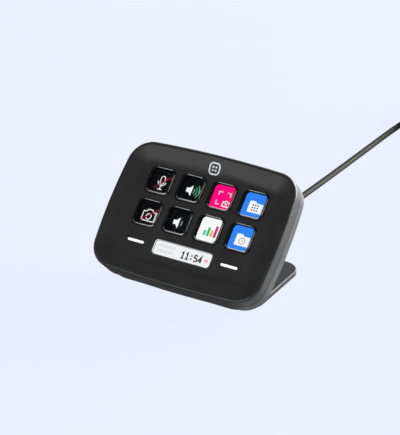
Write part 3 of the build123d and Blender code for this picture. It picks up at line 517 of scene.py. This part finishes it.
# ---- display stack ----
# A pressed steel tray holds a milky light guide and one display panel. A printed film and a
# silicone sheet with a dome at each key lie on the panel, open under each clear key.
TRAY_COLOUR = (0.55, 0.55, 0.57)
GUIDE_COLOUR = (0.85, 0.88, 0.9, 1)
FILM_COLOUR = (0.03, 0.03, 0.033, 1)
SILICONE_COLOUR = (0.05, 0.05, 0.052, 1)
GLASS_COLOUR = (0.006, 0.006, 0.007, 1)
tray_steel = brushed("tray_steel", TRAY_COLOUR, roughness=0.35, turn=(-FACE_SLOPE, 0, 0))
display_glass = moulded("display_glass", GLASS_COLOUR, roughness=0.12, tone=0.1, depth=0.001)
dress(tray_steel, "display_tray")
dress(moulded("guide_acrylic", GUIDE_COLOUR, roughness=0.3, tone=0.05), "light_guide")
dress(moulded("contact_film", FILM_COLOUR, roughness=0.4, tone=0.1), "contact_sheet")
dress(moulded("dome_silicone", SILICONE_COLOUR, roughness=0.6, tone=0.1), "dome_sheet")
dress(display_glass, "display_panel", "bar_display")


# ---- pictures on the display ----
# What the lit display shows under each key: a rounded tile with a plain picture on it. All are
# flat shapes a few hundredths of a millimetre over the panel, lit from inside through its pixels.
PANEL_TOP = -4.3
LAYER = 0.02
PIXEL = 0.166
PIXEL_HALF = 0.46  # half of the lit square over the pitch
PIXEL_GAP_LIGHT = 0.84  # light of the gaps; a lit square has as much and the next value more
PIXEL_LIGHT = 0.25
UNLIT_COLOUR = (0.002, 0.002, 0.002, 1)
KEY_PITCH = 19.4
KEY_XS = (-1.5 * KEY_PITCH, -0.5 * KEY_PITCH, 0.5 * KEY_PITCH, 1.5 * KEY_PITCH)
KEY_YS = (17.3, 17.3 - KEY_PITCH)
TILE_WIDTH = 14.0
TILE_HEIGHT = 14.3
TILE_CORNER = 2.2
ARC_POINTS = 12
CORNER_POINTS = 8
DISC_POINTS = 24


def pixel_group():
    """Lit pixels: squares with thin dark gaps, from the distance to each square's middle both ways
    across the panel."""
    group, given, result = new_group(
        "lit_pixels",
        [("Colour", "NodeSocketColor", (1, 1, 1, 1)), ("Pitch", "NodeSocketFloat", PIXEL / 1000)],
        [("Colour", "NodeSocketColor")],
    )
    place = add_node(group, "ShaderNodeTexCoord").outputs["Object"]
    turned = add_node(group, "ShaderNodeMapping", {"Vector": place, "Rotation": (-FACE_SLOPE, 0, 0)})
    axes = add_node(group, "ShaderNodeSeparateXYZ", {0: turned.outputs[0]})
    square = 1.0
    for axis in ("X", "Y"):
        pixel = calculate(group, "DIVIDE", axes.outputs[axis], given.outputs["Pitch"])
        place_in_pixel = calculate(group, "FRACT", pixel)
        off_middle = calculate(
            group, "ABSOLUTE", calculate(group, "SUBTRACT", place_in_pixel, 0.5)
        )
        inside = calculate(group, "LESS_THAN", off_middle, PIXEL_HALF)
        square = calculate(group, "MULTIPLY", inside, square)
    light = calculate(group, "MULTIPLY", square, PIXEL_LIGHT)
    share = calculate(group, "ADD", light, PIXEL_GAP_LIGHT)
    colour = add_node(
        group, "ShaderNodeVectorMath", {0: given.outputs["Colour"], "Scale": share}, operation="SCALE"
    )
    group.links.new(colour.outputs[0], result.inputs["Colour"])
    return group


lit_pixels = pixel_group()
lit_colours = {}


def lit(colour):
    """The material of a lit part of a display in one colour, made once."""
    if colour not in lit_colours:
        name = "lit_%02x%02x%02x" % tuple(round(255 * min(channel, 1)) for channel in colour)
        material, tree, shader = surface(
            name, Base_Color=UNLIT_COLOUR, Roughness=0.4, Specular_IOR_Level=0.1
        )
        effect = add_node(tree, "ShaderNodeGroup", node_tree=lit_pixels)
        effect.inputs["Colour"].default_value = (*colour, 1)
        tree.links.new(effect.outputs["Colour"], shader.inputs["Emission Color"])
        shader.inputs["Emission Strength"].default_value = 1.0
        lit_colours[colour] = material
    return lit_colours[colour]


def arc(x, y, radius, start, end, count=ARC_POINTS):
    """Points on a circle between two angles in degrees, going anticlockwise."""
    angle = np.radians(np.linspace(start, end, count))
    return np.stack([x + radius * np.cos(angle), y + radius * np.sin(angle)], axis=-1)


def rounded(x, y, width, height, corner):
    """The outline of a rounded rectangle: a quarter circle at each corner, anticlockwise."""
    a = width / 2 - corner
    b = height / 2 - corner
    quarters = [(a, b, 0), (-a, b, 90), (-a, -b, 180), (a, -b, 270)]
    return np.concatenate(
        [arc(x + dx, y + dy, corner, turn, turn + 90, CORNER_POINTS) for dx, dy, turn in quarters]
    )


def disc(x, y, radius):
    """The outline of a circle, anticlockwise, which stops one step short of its first point."""
    return arc(x, y, radius, 0, 360 - 360 / DISC_POINTS, DISC_POINTS)


def filled(outline):
    """A flat face inside an outline that goes anticlockwise."""
    points = np.asarray(outline, float)
    return points, [list(range(len(points)))]


def band(line, width, closed=False):
    """A flat band along a line: each point is moved both ways along the mean of its two normals, by
    half the width over the cosine of half the turn."""
    points = np.asarray(line, float)
    ahead = np.roll(points, -1, axis=0) - points
    behind = np.roll(ahead, 1, axis=0)
    if not closed:
        ahead[-1] = behind[-1]
        behind[0] = ahead[0]
    ahead /= np.linalg.norm(ahead, axis=1, keepdims=True)
    behind /= np.linalg.norm(behind, axis=1, keepdims=True)
    side = np.stack([-ahead[:, 1], ahead[:, 0]], axis=-1)
    mean = side + np.stack([-behind[:, 1], behind[:, 0]], axis=-1)
    mean /= np.linalg.norm(mean, axis=1, keepdims=True)
    reach = mean * (width / 2) / np.sum(mean * side, axis=1, keepdims=True)
    count = len(points)
    here = np.arange(count if closed else count - 1)
    there = (here + 1) % count
    faces = np.stack([here + count, there + count, there, here], axis=-1)
    return np.concatenate([points + reach, points - reach]), faces.tolist()


def picture(name, shapes, colour, x, y, out):
    """One flat lit piece from several shapes, moved to x, y on the face and out from it."""
    points, faces, count = [], [], 0
    for shape_points, shape_faces in shapes:
        points.append(shape_points)
        faces += [[corner + count for corner in face] for face in shape_faces]
        count += len(shape_points)
    flat = np.concatenate(points)
    placed = on_face(x + flat[:, 0], y + flat[:, 1], out)
    piece = add_mesh(name, placed, faces, lit(colour), smooth=False)
    return piece


def key_picture(row, column, tile, layers):
    """The tile under one key and the layers of its picture, each a colour and its shapes."""
    x, y = KEY_XS[column], KEY_YS[row]
    name = f"tile_{row + 1}_{column + 1}"
    tile_shape = filled(rounded(0, 0, TILE_WIDTH, TILE_HEIGHT, TILE_CORNER))
    picture(name, [tile_shape], tile, x, y, PANEL_TOP + LAYER)
    for number, (colour, shapes) in enumerate(layers, 2):
        picture(f"{name}_layer_{number}", shapes, colour, x, y, PANEL_TOP + number * LAYER)


BLACK = (0.001, 0.001, 0.0012)
WHITE = (0.95, 0.96, 0.96)
SLASH = (0.30, 0.004, 0.045)
GREEN = (0.14, 0.60, 0.33)
PINK = (1.0, 0.0, 0.20)
PALE_PINK = (1.0, 0.62, 0.72)
BLUE = (0.026, 0.235, 0.92)
DEEP_BLUE = (0.012, 0.05, 0.24)
SOFT_GREY = (0.27, 0.30, 0.34)
TEAL = (0.02, 0.62, 0.52)
LEAF = (0.04, 0.50, 0.16)
MAGENTA = (0.62, 0.005, 0.20)
AMBER = (0.88, 0.46, 0.04)

# Sizes of the lines, dots and bars of the pictures.
MICROPHONE_LINE = 0.45
MICROPHONE_STAND = 0.5
CAMERA_LINE = 0.5
LENS_LINE = 0.48
FRAME_LINE = 0.6
SLASH_LINE = 0.75
LOUD_LINE = 0.38
QUIET_LINE = 0.7
CLOCK_LINE = 0.45
CLOCK_HANDS = 0.4
DOT_PITCH = 1.5
DOT_WIDTH = 0.85
DOT_CORNER = 0.2
CHART_BAR = 1.5
CHART_CORNER = 0.5

microphone = [
    band(rounded(-0.3, 1.3, 2.5, 4.7, 1.24), MICROPHONE_LINE, closed=True),
    band(arc(-0.3, 0.6, 2.5, 185, 355), MICROPHONE_LINE),
    band([(-0.3, -1.9), (-0.3, -3.9)], MICROPHONE_STAND),
    band([(-1.7, -4.1), (1.1, -4.1)], MICROPHONE_STAND),
]
speaker = [
    filled([(-3.9, -1.5), (-2.2, -1.5), (-0.4, -3.5), (-0.4, 2.9), (-2.2, 1.0), (-3.9, 1.0)]),
]
loud_sound = [band(arc(-0.9, -0.2, radius, -42, 42), LOUD_LINE) for radius in (2.0, 3.5, 5.0)]
quiet_sound = [band(arc(-0.6, -0.2, 2.0, -42, 42), QUIET_LINE)]
camera_body = [(-4.0, -3.8), (3.8, -3.8), (3.8, 1.5)]
camera_finder = [(1.9, 1.5), (1.2, 2.8), (-1.6, 2.8), (-2.3, 1.5), (-4.0, 1.5)]
camera_shape = [
    band(camera_body + camera_finder, CAMERA_LINE, closed=True),
    band(disc(-0.1, -1.2, 1.6), LENS_LINE, closed=True),
]
frame_corners = [
    band([(-3.6, 1.3), (-3.6, 3.4), (-1.4, 3.4)], FRAME_LINE),
    band([(1.4, 3.4), (3.6, 3.4), (3.6, 1.3)], FRAME_LINE),
    band([(-1.4, -3.8), (-3.6, -3.8), (-3.6, -1.7)], FRAME_LINE),
]
small_body = [(0.6, -4.4), (4.6, -4.4), (4.6, -1.9)]
small_finder = [(3.6, -1.9), (2.6, -1.1), (1.6, -1.9), (0.6, -1.9)]
small_camera = [
    band(small_body + small_finder, FRAME_LINE, closed=True),
    filled(disc(2.6, -3.0, 0.6)),
]
folder_body = [(-3.7, -3.7), (4.3, -3.7), (4.3, 1.9)]
folder_tab = [(0.7, 1.9), (-0.4, 2.9), (-3.0, 2.9), (-3.7, 2.2)]
folder = [filled(folder_body + folder_tab)]
grid = [
    filled(rounded(0.3 + DOT_PITCH * i, -0.8 + DOT_PITCH * j, DOT_WIDTH, DOT_WIDTH, DOT_CORNER))
    for i in (-1, 0, 1)
    for j in (-1, 0, 1)
]
clock = [
    band(disc(0.3, -0.9, 1.75), CLOCK_LINE, closed=True),
    band([(0.3, 0.1), (0.3, -0.9), (1.0, -1.3)], CLOCK_HANDS),
]
chart = [
    (TEAL, [filled(rounded(-3.1, -1.7, CHART_BAR, 3.2, CHART_CORNER))]),
    (LEAF, [filled(rounded(-1.0, -0.7, CHART_BAR, 5.2, CHART_CORNER))]),
    (AMBER, [filled(rounded(1.1, -1.3, CHART_BAR, 4.0, CHART_CORNER))]),
    (MAGENTA, [filled(rounded(3.2, 0.1, CHART_BAR, 6.8, CHART_CORNER))]),
]
no_sound = [band([(-4.1, -4.0), (4.6, 4.2)], SLASH_LINE)]
no_camera = [band([(-4.1, -4.2), (4.7, 4.3)], SLASH_LINE)]
key_picture(0, 0, BLACK, [(WHITE, microphone), (SLASH, no_sound)])
key_picture(0, 1, BLACK, [(WHITE, speaker), (GREEN, loud_sound)])
key_picture(0, 2, PINK, [(PALE_PINK, frame_corners), (WHITE, small_camera)])
key_picture(0, 3, BLUE, [(WHITE, folder), (DEEP_BLUE, grid)])
key_picture(1, 0, BLACK, [(WHITE, camera_shape), (SLASH, no_camera)])
key_picture(1, 1, BLACK, [(WHITE, speaker), (SOFT_GREY, quiet_sound)])
key_picture(1, 2, WHITE, chart)
key_picture(1, 3, BLUE, [(WHITE, folder), (SOFT_GREY, clock)])


# ---- clear keys ----
# Each key is a thick clear cap with a polished top and a rounded edge. A lacquered black rim is
# moulded round it, down to the flange that keeps it in its window of the front cover, and it
# slides there over its own part of the display.
KEY_WIDTH = 15.2
KEY_HEIGHT = 16.0
KEY_CORNER = 3.4
KEY_PROUD = 0.35
EDGE_IN = 1.5  # the rounded edge is a quarter of an ellipse: how far it comes in
EDGE_DOWN = 1.15  # and how far it falls
EDGE_STEPS = 17
EDGE_CLEAR = 3  # steps of the edge that are still clear, before the black rim
FLANGE_TOP = -1.9
FLANGE_WIDTH = 1.0
KEY_FLOOR = -2.7
TOP_INSETS = (7.0, 5.0, 3.0)
FLOOR_INSETS = (0.8, 4.0, 7.0)  # the black rim ends at the first of them, under the key
CORNER_STEPS = 14
LEAST_CORNER = 0.3  # corner of the inner rings, however far they come in
RIM_COLOUR = (0.006, 0.006, 0.0062, 1)
ACRYLIC_IOR = 1.49
RIM_IOR = 2.1  # the lacquer is glossier than bare plastic
POLISHED = 0.10  # roughness of the top
AS_MOULDED = 0.28  # roughness of the edge
SMEARS = 220.0  # smears in a metre, nearly


def clear(name, roughness):
    """Clear polished plastic: slow noise varies its roughness a little, as handling does."""
    material, tree, shader = surface(
        name, Base_Color=(1, 1, 1, 1), Transmission_Weight=1.0, IOR=ACRYLIC_IOR
    )
    place = add_node(tree, "ShaderNodeTexCoord").outputs["Object"]
    smears = add_node(
        tree, "ShaderNodeTexNoise", {"Vector": place, "Scale": SMEARS, "Detail": 4.0}
    ).outputs["Fac"]
    swing = calculate(tree, "MULTIPLY", smears, roughness / 2)
    rough = calculate(tree, "ADD", swing, roughness * 3 / 4)
    tree.links.new(rough, shader.inputs["Roughness"])
    return material


def key_surface(x, y):
    """A clear cap as rings on a grid: each ring is a rounded rectangle, moved in by an inset, at a
    height. From the middle of the top they run out, over a quarter of an ellipse at the edge, down,
    round the flange and in again."""
    bend = np.linspace(0, pi / 2, EDGE_STEPS)
    edge_in = EDGE_IN * (1 - np.sin(bend))
    edge_out = KEY_PROUD - EDGE_DOWN * (1 - np.cos(bend))
    flange_in = [0, -FLANGE_WIDTH, -FLANGE_WIDTH]
    flange_out = [FLANGE_TOP, FLANGE_TOP, KEY_FLOOR]
    inset = np.concatenate([TOP_INSETS, edge_in, flange_in, FLOOR_INSETS])
    out = np.concatenate(
        [[KEY_PROUD] * len(TOP_INSETS), edge_out, flange_out, [KEY_FLOOR] * len(FLOOR_INSETS)]
    )
    turn = (np.arange(4)[:, None] * 90 + np.linspace(0, 90, CORNER_STEPS)).ravel()
    angle = np.radians(turn)
    sign_x = np.repeat([1, -1, -1, 1], CORNER_STEPS)
    sign_y = np.repeat([1, 1, -1, -1], CORNER_STEPS)
    corner = np.clip(KEY_CORNER - inset, LEAST_CORNER, None)[:, None]
    across = sign_x * (KEY_WIDTH / 2 - inset[:, None] - corner) + corner * np.cos(angle)
    up = sign_y * (KEY_HEIGHT / 2 - inset[:, None] - corner) + corner * np.sin(angle)
    return on_face(x + across, y + up, np.broadcast_to(out[:, None], across.shape)), across.shape


clear_key = clear("clear_key", POLISHED)
clear_edge = clear("clear_edge", AS_MOULDED)
key_rim = moulded("key_rim", RIM_COLOUR, roughness=0.2, tone=0.1, depth=0.002, IOR=RIM_IOR)
for row, up_place in enumerate(KEY_YS, 1):
    for column, across_place in enumerate(KEY_XS, 1):
        name = f"key_{row}_{column}"
        key_points, (rings, around) = key_surface(across_place, up_place)
        walls = [face[::-1] for face in turned_faces(rings, around)]
        ends = [list(range(around)), list(range(rings * around - 1, (rings - 1) * around - 1, -1))]
        cap = add_mesh(f"{name}_cap", key_points, walls + ends, clear_key, f"{name}_body")
        cap.data.materials.append(key_rim)
        cap.data.materials.append(clear_edge)
        band_of_face = np.arange(len(cap.data.polygons)) // around
        past_top = band_of_face >= len(TOP_INSETS)
        past_edge = band_of_face >= len(TOP_INSETS) + EDGE_CLEAR
        past_rim = band_of_face >= rings - len(FLOOR_INSETS)
        finish = np.select([past_rim, past_edge, past_top], [0, 1, 2], 0)
        cap.data.polygons.foreach_set("material_index", finish.astype(np.int32))
        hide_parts(name)


# ---- information bar ----
# A small display behind its own clear window, which a flange holds under the face. It shows two
# pale lines of dashes, the time in dark digits, and a small red mark.
BAR_TOP = -2.5
BAR_UP = -18.95
BAR_WIDTH = 35.4
BAR_HEIGHT = 8.0
BAR_CORNER = 1.6
DIGIT_UP = -19.4
DIGIT_XS = (0.2, 2.9, 8.2, 11.0)
DIGIT_STROKE = 0.78
COLON_X = 5.6
COLON_UPS = (-1.0, 0.9)
COLON_DOT = 0.95
COLON_CORNER = 0.25
DASHES = 8
DASH_START = -15.0
DASH_PITCH = 1.3
DASH_UPS = (-17.3, -20.2)
DASH_WIDTH = 0.9
DASH_HEIGHT = 1.7
DASH_CORNER = 0.25
MARK_XS = (14.1, 15.2)
MARK_UP = -19.2
MARK_WIDTH = 0.7
MARK_HEIGHT = 1.6
MARK_CORNER = 0.2
BAR_WHITE = (0.86, 0.87, 0.88)
BAR_INK = (0.02, 0.02, 0.025)
BAR_PALE = (0.70, 0.71, 0.72)
BAR_RED = (0.85, 0.18, 0.22)

dress(clear("clear_window", roughness=0.08), "bar_window")
one_stem = [(-0.8, 1.1), (0.1, 1.85), (0.1, -1.85)]
one_foot = [(-0.8, -1.7), (1.0, -1.7)]
five_flag = [(0.9, 1.7), (-0.7, 1.7), (-0.8, 0.2)]
five_bowl = [(0.3, 0.3), (0.95, -0.3), (0.9, -1.2), (0.2, -1.7), (-0.9, -1.5)]
four_line = [(0.4, -1.85), (0.4, 1.6), (-0.95, -0.8), (1.1, -0.8)]
digit_lines = {"1": [one_stem, one_foot], "5": [five_flag + five_bowl], "4": [four_line]}
bar_shape = filled(rounded(0, 0, BAR_WIDTH, BAR_HEIGHT, BAR_CORNER))
picture("bar_light", [bar_shape], BAR_WHITE, 0, BAR_UP, BAR_TOP + LAYER)
for number, (digit, x) in enumerate(zip("1154", DIGIT_XS), 1):
    shapes = [band(line, DIGIT_STROKE) for line in digit_lines[digit]]
    picture(f"bar_digit_{number}", shapes, BAR_INK, x, DIGIT_UP, BAR_TOP + 2 * LAYER)
colon = [filled(rounded(0, up, COLON_DOT, COLON_DOT, COLON_CORNER)) for up in COLON_UPS]
picture("bar_colon", colon, BAR_INK, COLON_X, DIGIT_UP, BAR_TOP + 2 * LAYER)
small_print = [
    filled(rounded(DASH_START + DASH_PITCH * place, up, DASH_WIDTH, DASH_HEIGHT, DASH_CORNER))
    for up in DASH_UPS
    for place in range(DASHES)
]
picture("bar_small_print", small_print, BAR_PALE, 0, 0, BAR_TOP + 2 * LAYER)
red_mark = [filled(rounded(x, MARK_UP, MARK_WIDTH, MARK_HEIGHT, MARK_CORNER)) for x in MARK_XS]
picture("bar_mark", red_mark, BAR_RED, 0, 0, BAR_TOP + 2 * LAYER)


# ---- touch bars ----
# Two short bars of milky plastic, flush with the face and held by a flange under it. Two lamps
# each light them from below, and the board under them feels a finger.
MILKY_COLOUR = (0.6, 0.6, 0.6, 1)
MILKY_SHADE = (0.82, 0.84, 0.86, 1)
MILKY_LIGHT = (0.97, 0.97, 0.97, 1)
MILKY_CLOUDS = 300.0  # clouds in a metre, nearly


def milky(name):
    """Plastic lit from behind: noise varies the colour of its glow a little, as its filler does."""
    material, tree, shader = surface(
        name, Roughness=0.35, Emission_Strength=0.8, Base_Color=MILKY_COLOUR
    )
    place = add_node(tree, "ShaderNodeTexCoord").outputs["Object"]
    clouds = add_node(
        tree, "ShaderNodeTexNoise", {"Vector": place, "Scale": MILKY_CLOUDS}
    ).outputs["Fac"]
    glow = add_node(
        tree, "ShaderNodeMix", {"Factor": clouds, "A": MILKY_SHADE, "B": MILKY_LIGHT}, data_type="RGBA"
    )
    tree.links.new(glow.outputs["Result"], shader.inputs["Emission Color"])
    return material


dress(milky("light_bar"), "touch_lens_left", "touch_lens_right")


# ---- emblem ----
# A small white print on the slope above the keys: a rounded ring round four little squares. It
# lies on the dish, which is a flat field, a hollow arc and a straight slope.
DISH_FOOT = 28.4
DISH_RISE = 2.5
DISH_RUN = 8.6
DISH_BLEND = 14.0
EMBLEM_UP = 31.1
EMBLEM_RING = 6.0
EMBLEM_CORNER = 1.9
EMBLEM_LINE = 0.85
EMBLEM_PITCH = 1.75
EMBLEM_SQUARE = 1.0
SQUARE_CORNER = 0.25
EMBLEM_COLOUR = (0.96, 0.96, 0.96, 1)
dish_slope = DISH_RISE / DISH_RUN
dish_angle = atan(dish_slope)
blend_start = DISH_FOOT - DISH_BLEND * tan(dish_angle / 2)
blend_end = blend_start + DISH_BLEND * sin(dish_angle)


def dish_height(up):
    """Height of the dish over the key field: nil, then an arc of the blend, then the slope."""
    inside = np.clip(up - blend_start, 0, blend_end - blend_start)
    hollow = DISH_BLEND - np.sqrt(DISH_BLEND**2 - inside**2)
    return hollow + np.clip(up - blend_end, 0, None) * dish_slope


emblem_ink = moulded("emblem_ink", EMBLEM_COLOUR, roughness=0.5, tone=0.03)
emblem_ring = rounded(0, EMBLEM_UP, EMBLEM_RING, EMBLEM_RING, EMBLEM_CORNER)
emblem_shapes = [band(emblem_ring, EMBLEM_LINE, closed=True)]
for emblem_x in (-EMBLEM_PITCH / 2, EMBLEM_PITCH / 2):
    for emblem_y in (EMBLEM_UP - EMBLEM_PITCH / 2, EMBLEM_UP + EMBLEM_PITCH / 2):
        square = rounded(emblem_x, emblem_y, EMBLEM_SQUARE, EMBLEM_SQUARE, SQUARE_CORNER)
        emblem_shapes.append(filled(square))
for number, (flat, faces) in enumerate(emblem_shapes, 1):
    place = on_face(flat[:, 0], flat[:, 1], dish_height(flat[:, 1]) + LAYER)
    emblem_piece = add_mesh(f"emblem_{number}", place, faces, emblem_ink, smooth=False)


# ---- stage ----
# A pale floor that fills the view and keeps a soft shadow, and a pale world. A large lamp behind
# to the right lights the sides, a wide one lies low in front, and four weak ones, to the right,
# the left and overhead, draw the thin lights on the rims of the keys and the case. In metres.
BACKGROUND = (0.823, 0.888, 1.0, 1)
FLOOR_PAINT = (0.50, 0.53, 0.58, 1)
FLOOR_HALF = 4.0
FLOOR_GLOW = 0.96  # how much of the background's own light the floor shows, the rest is its paint
FLOOR_GLOSSY_GLOW = 0.06  # and how much of it glossy pieces reflect
WORLD_LOW = 0.035
WORLD_BACK = 0.6
WORLD_BACK_FROM = 0.3  # the world brightens behind the keypad between these two directions
WORLD_BACK_TO = 0.8
WORLD_BAND = 0.35  # light of a band along the horizon
WORLD_BAND_POWER = 5.0


def floor_finish():
    """Floor paint for the light, and the background's own colour for the camera: a mix of the two
    by the kind of ray."""
    material = bpy.data.materials.new("floor")
    material.use_nodes = True
    tree = material.node_tree
    tree.nodes.clear()
    light = add_node(tree, "ShaderNodeEmission", {"Color": BACKGROUND, "Strength": 1.0})
    paint = add_node(tree, "ShaderNodeBsdfDiffuse", {"Color": FLOOR_PAINT})
    rays = add_node(tree, "ShaderNodeLightPath").outputs
    seen = calculate(tree, "ADD", rays["Is Camera Ray"], rays["Is Transmission Ray"])
    seen_glow = calculate(tree, "MULTIPLY", seen, FLOOR_GLOW)
    glossy_glow = calculate(tree, "MULTIPLY", rays["Is Glossy Ray"], FLOOR_GLOSSY_GLOW)
    glow = calculate(tree, "ADD", seen_glow, glossy_glow)
    mix = add_node(
        tree, "ShaderNodeMixShader", {0: glow, 1: paint.outputs[0], 2: light.outputs[0]}
    )
    add_node(tree, "ShaderNodeOutputMaterial", {0: mix.outputs[0]})
    return material


floor_data = bpy.data.meshes.new("floor")
floor_corners = [(x * FLOOR_HALF, y * FLOOR_HALF, 0) for x, y in ((-1, -1), (1, -1), (1, 1), (-1, 1))]
floor_data.from_pydata(floor_corners, [], [(0, 1, 2, 3)])
floor_data.materials.append(floor_finish())
floor = bpy.data.objects.new("floor", floor_data)
bpy.context.scene.collection.objects.link(floor)

world = bpy.data.worlds.new("studio")
world.use_nodes = True
world_tree = world.node_tree
world_background = world_tree.nodes["Background"]
world_background.inputs["Color"].default_value = BACKGROUND
world_direction = add_node(world_tree, "ShaderNodeTexCoord").outputs["Generated"]
world_axes = add_node(world_tree, "ShaderNodeSeparateXYZ", {0: world_direction}).outputs
world_height = calculate(world_tree, "ABSOLUTE", world_axes["Z"])
world_level = calculate(world_tree, "SUBTRACT", 1.0, world_height)
world_narrow = calculate(world_tree, "POWER", world_level, WORLD_BAND_POWER)
world_band = calculate(world_tree, "MULTIPLY", world_narrow, WORLD_BAND)
world_back = add_node(
    world_tree,
    "ShaderNodeMapRange",
    {
        "Value": world_axes["Y"],
        "From Min": WORLD_BACK_FROM,
        "From Max": WORLD_BACK_TO,
        "To Min": WORLD_LOW,
        "To Max": WORLD_BACK,
    },
    interpolation_type="SMOOTHSTEP",
)
world_light = calculate(world_tree, "ADD", world_band, world_back.outputs["Result"])
world_seen = add_node(world_tree, "ShaderNodeLightPath").outputs["Is Camera Ray"]
world_strength = calculate(world_tree, "MAXIMUM", world_light, world_seen)
world_tree.links.new(world_strength, world_background.inputs["Strength"])
bpy.context.scene.world = world
bpy.context.scene.view_settings.view_transform = "Standard"


def softbox(name, place, width, height, power):
    """A flat area light that faces the origin: tipped by its angle from straight overhead, then
    turned by its bearing."""
    data = bpy.data.lights.new(name, "AREA")
    data.shape = "RECTANGLE"
    data.size = width
    data.size_y = height
    data.energy = power
    light = bpy.data.objects.new(name, data)
    x, y, z = place
    light.location = place
    light.rotation_euler = (atan2(hypot(x, y), z), 0, atan2(x, -y))
    light.visible_camera = False
    bpy.context.scene.collection.objects.link(light)


softbox("light_back_right", (0.70, 1.05, 0.42), width=1.3, height=0.7, power=70.0)
softbox("light_side_right", (1.10, 0.24, 0.32), width=0.8, height=0.8, power=2.8)
softbox("light_above", (-0.44, 0.34, 0.86), width=0.30, height=0.20, power=1.0)
softbox("light_right", (0.62, -0.32, 0.72), width=0.30, height=0.30, power=0.6)
softbox("light_left", (-0.95, -0.44, 0.20), width=0.40, height=0.24, power=0.4)
softbox("light_front", (-0.20, -1.0, 0.40), width=0.8, height=0.5, power=5.8)
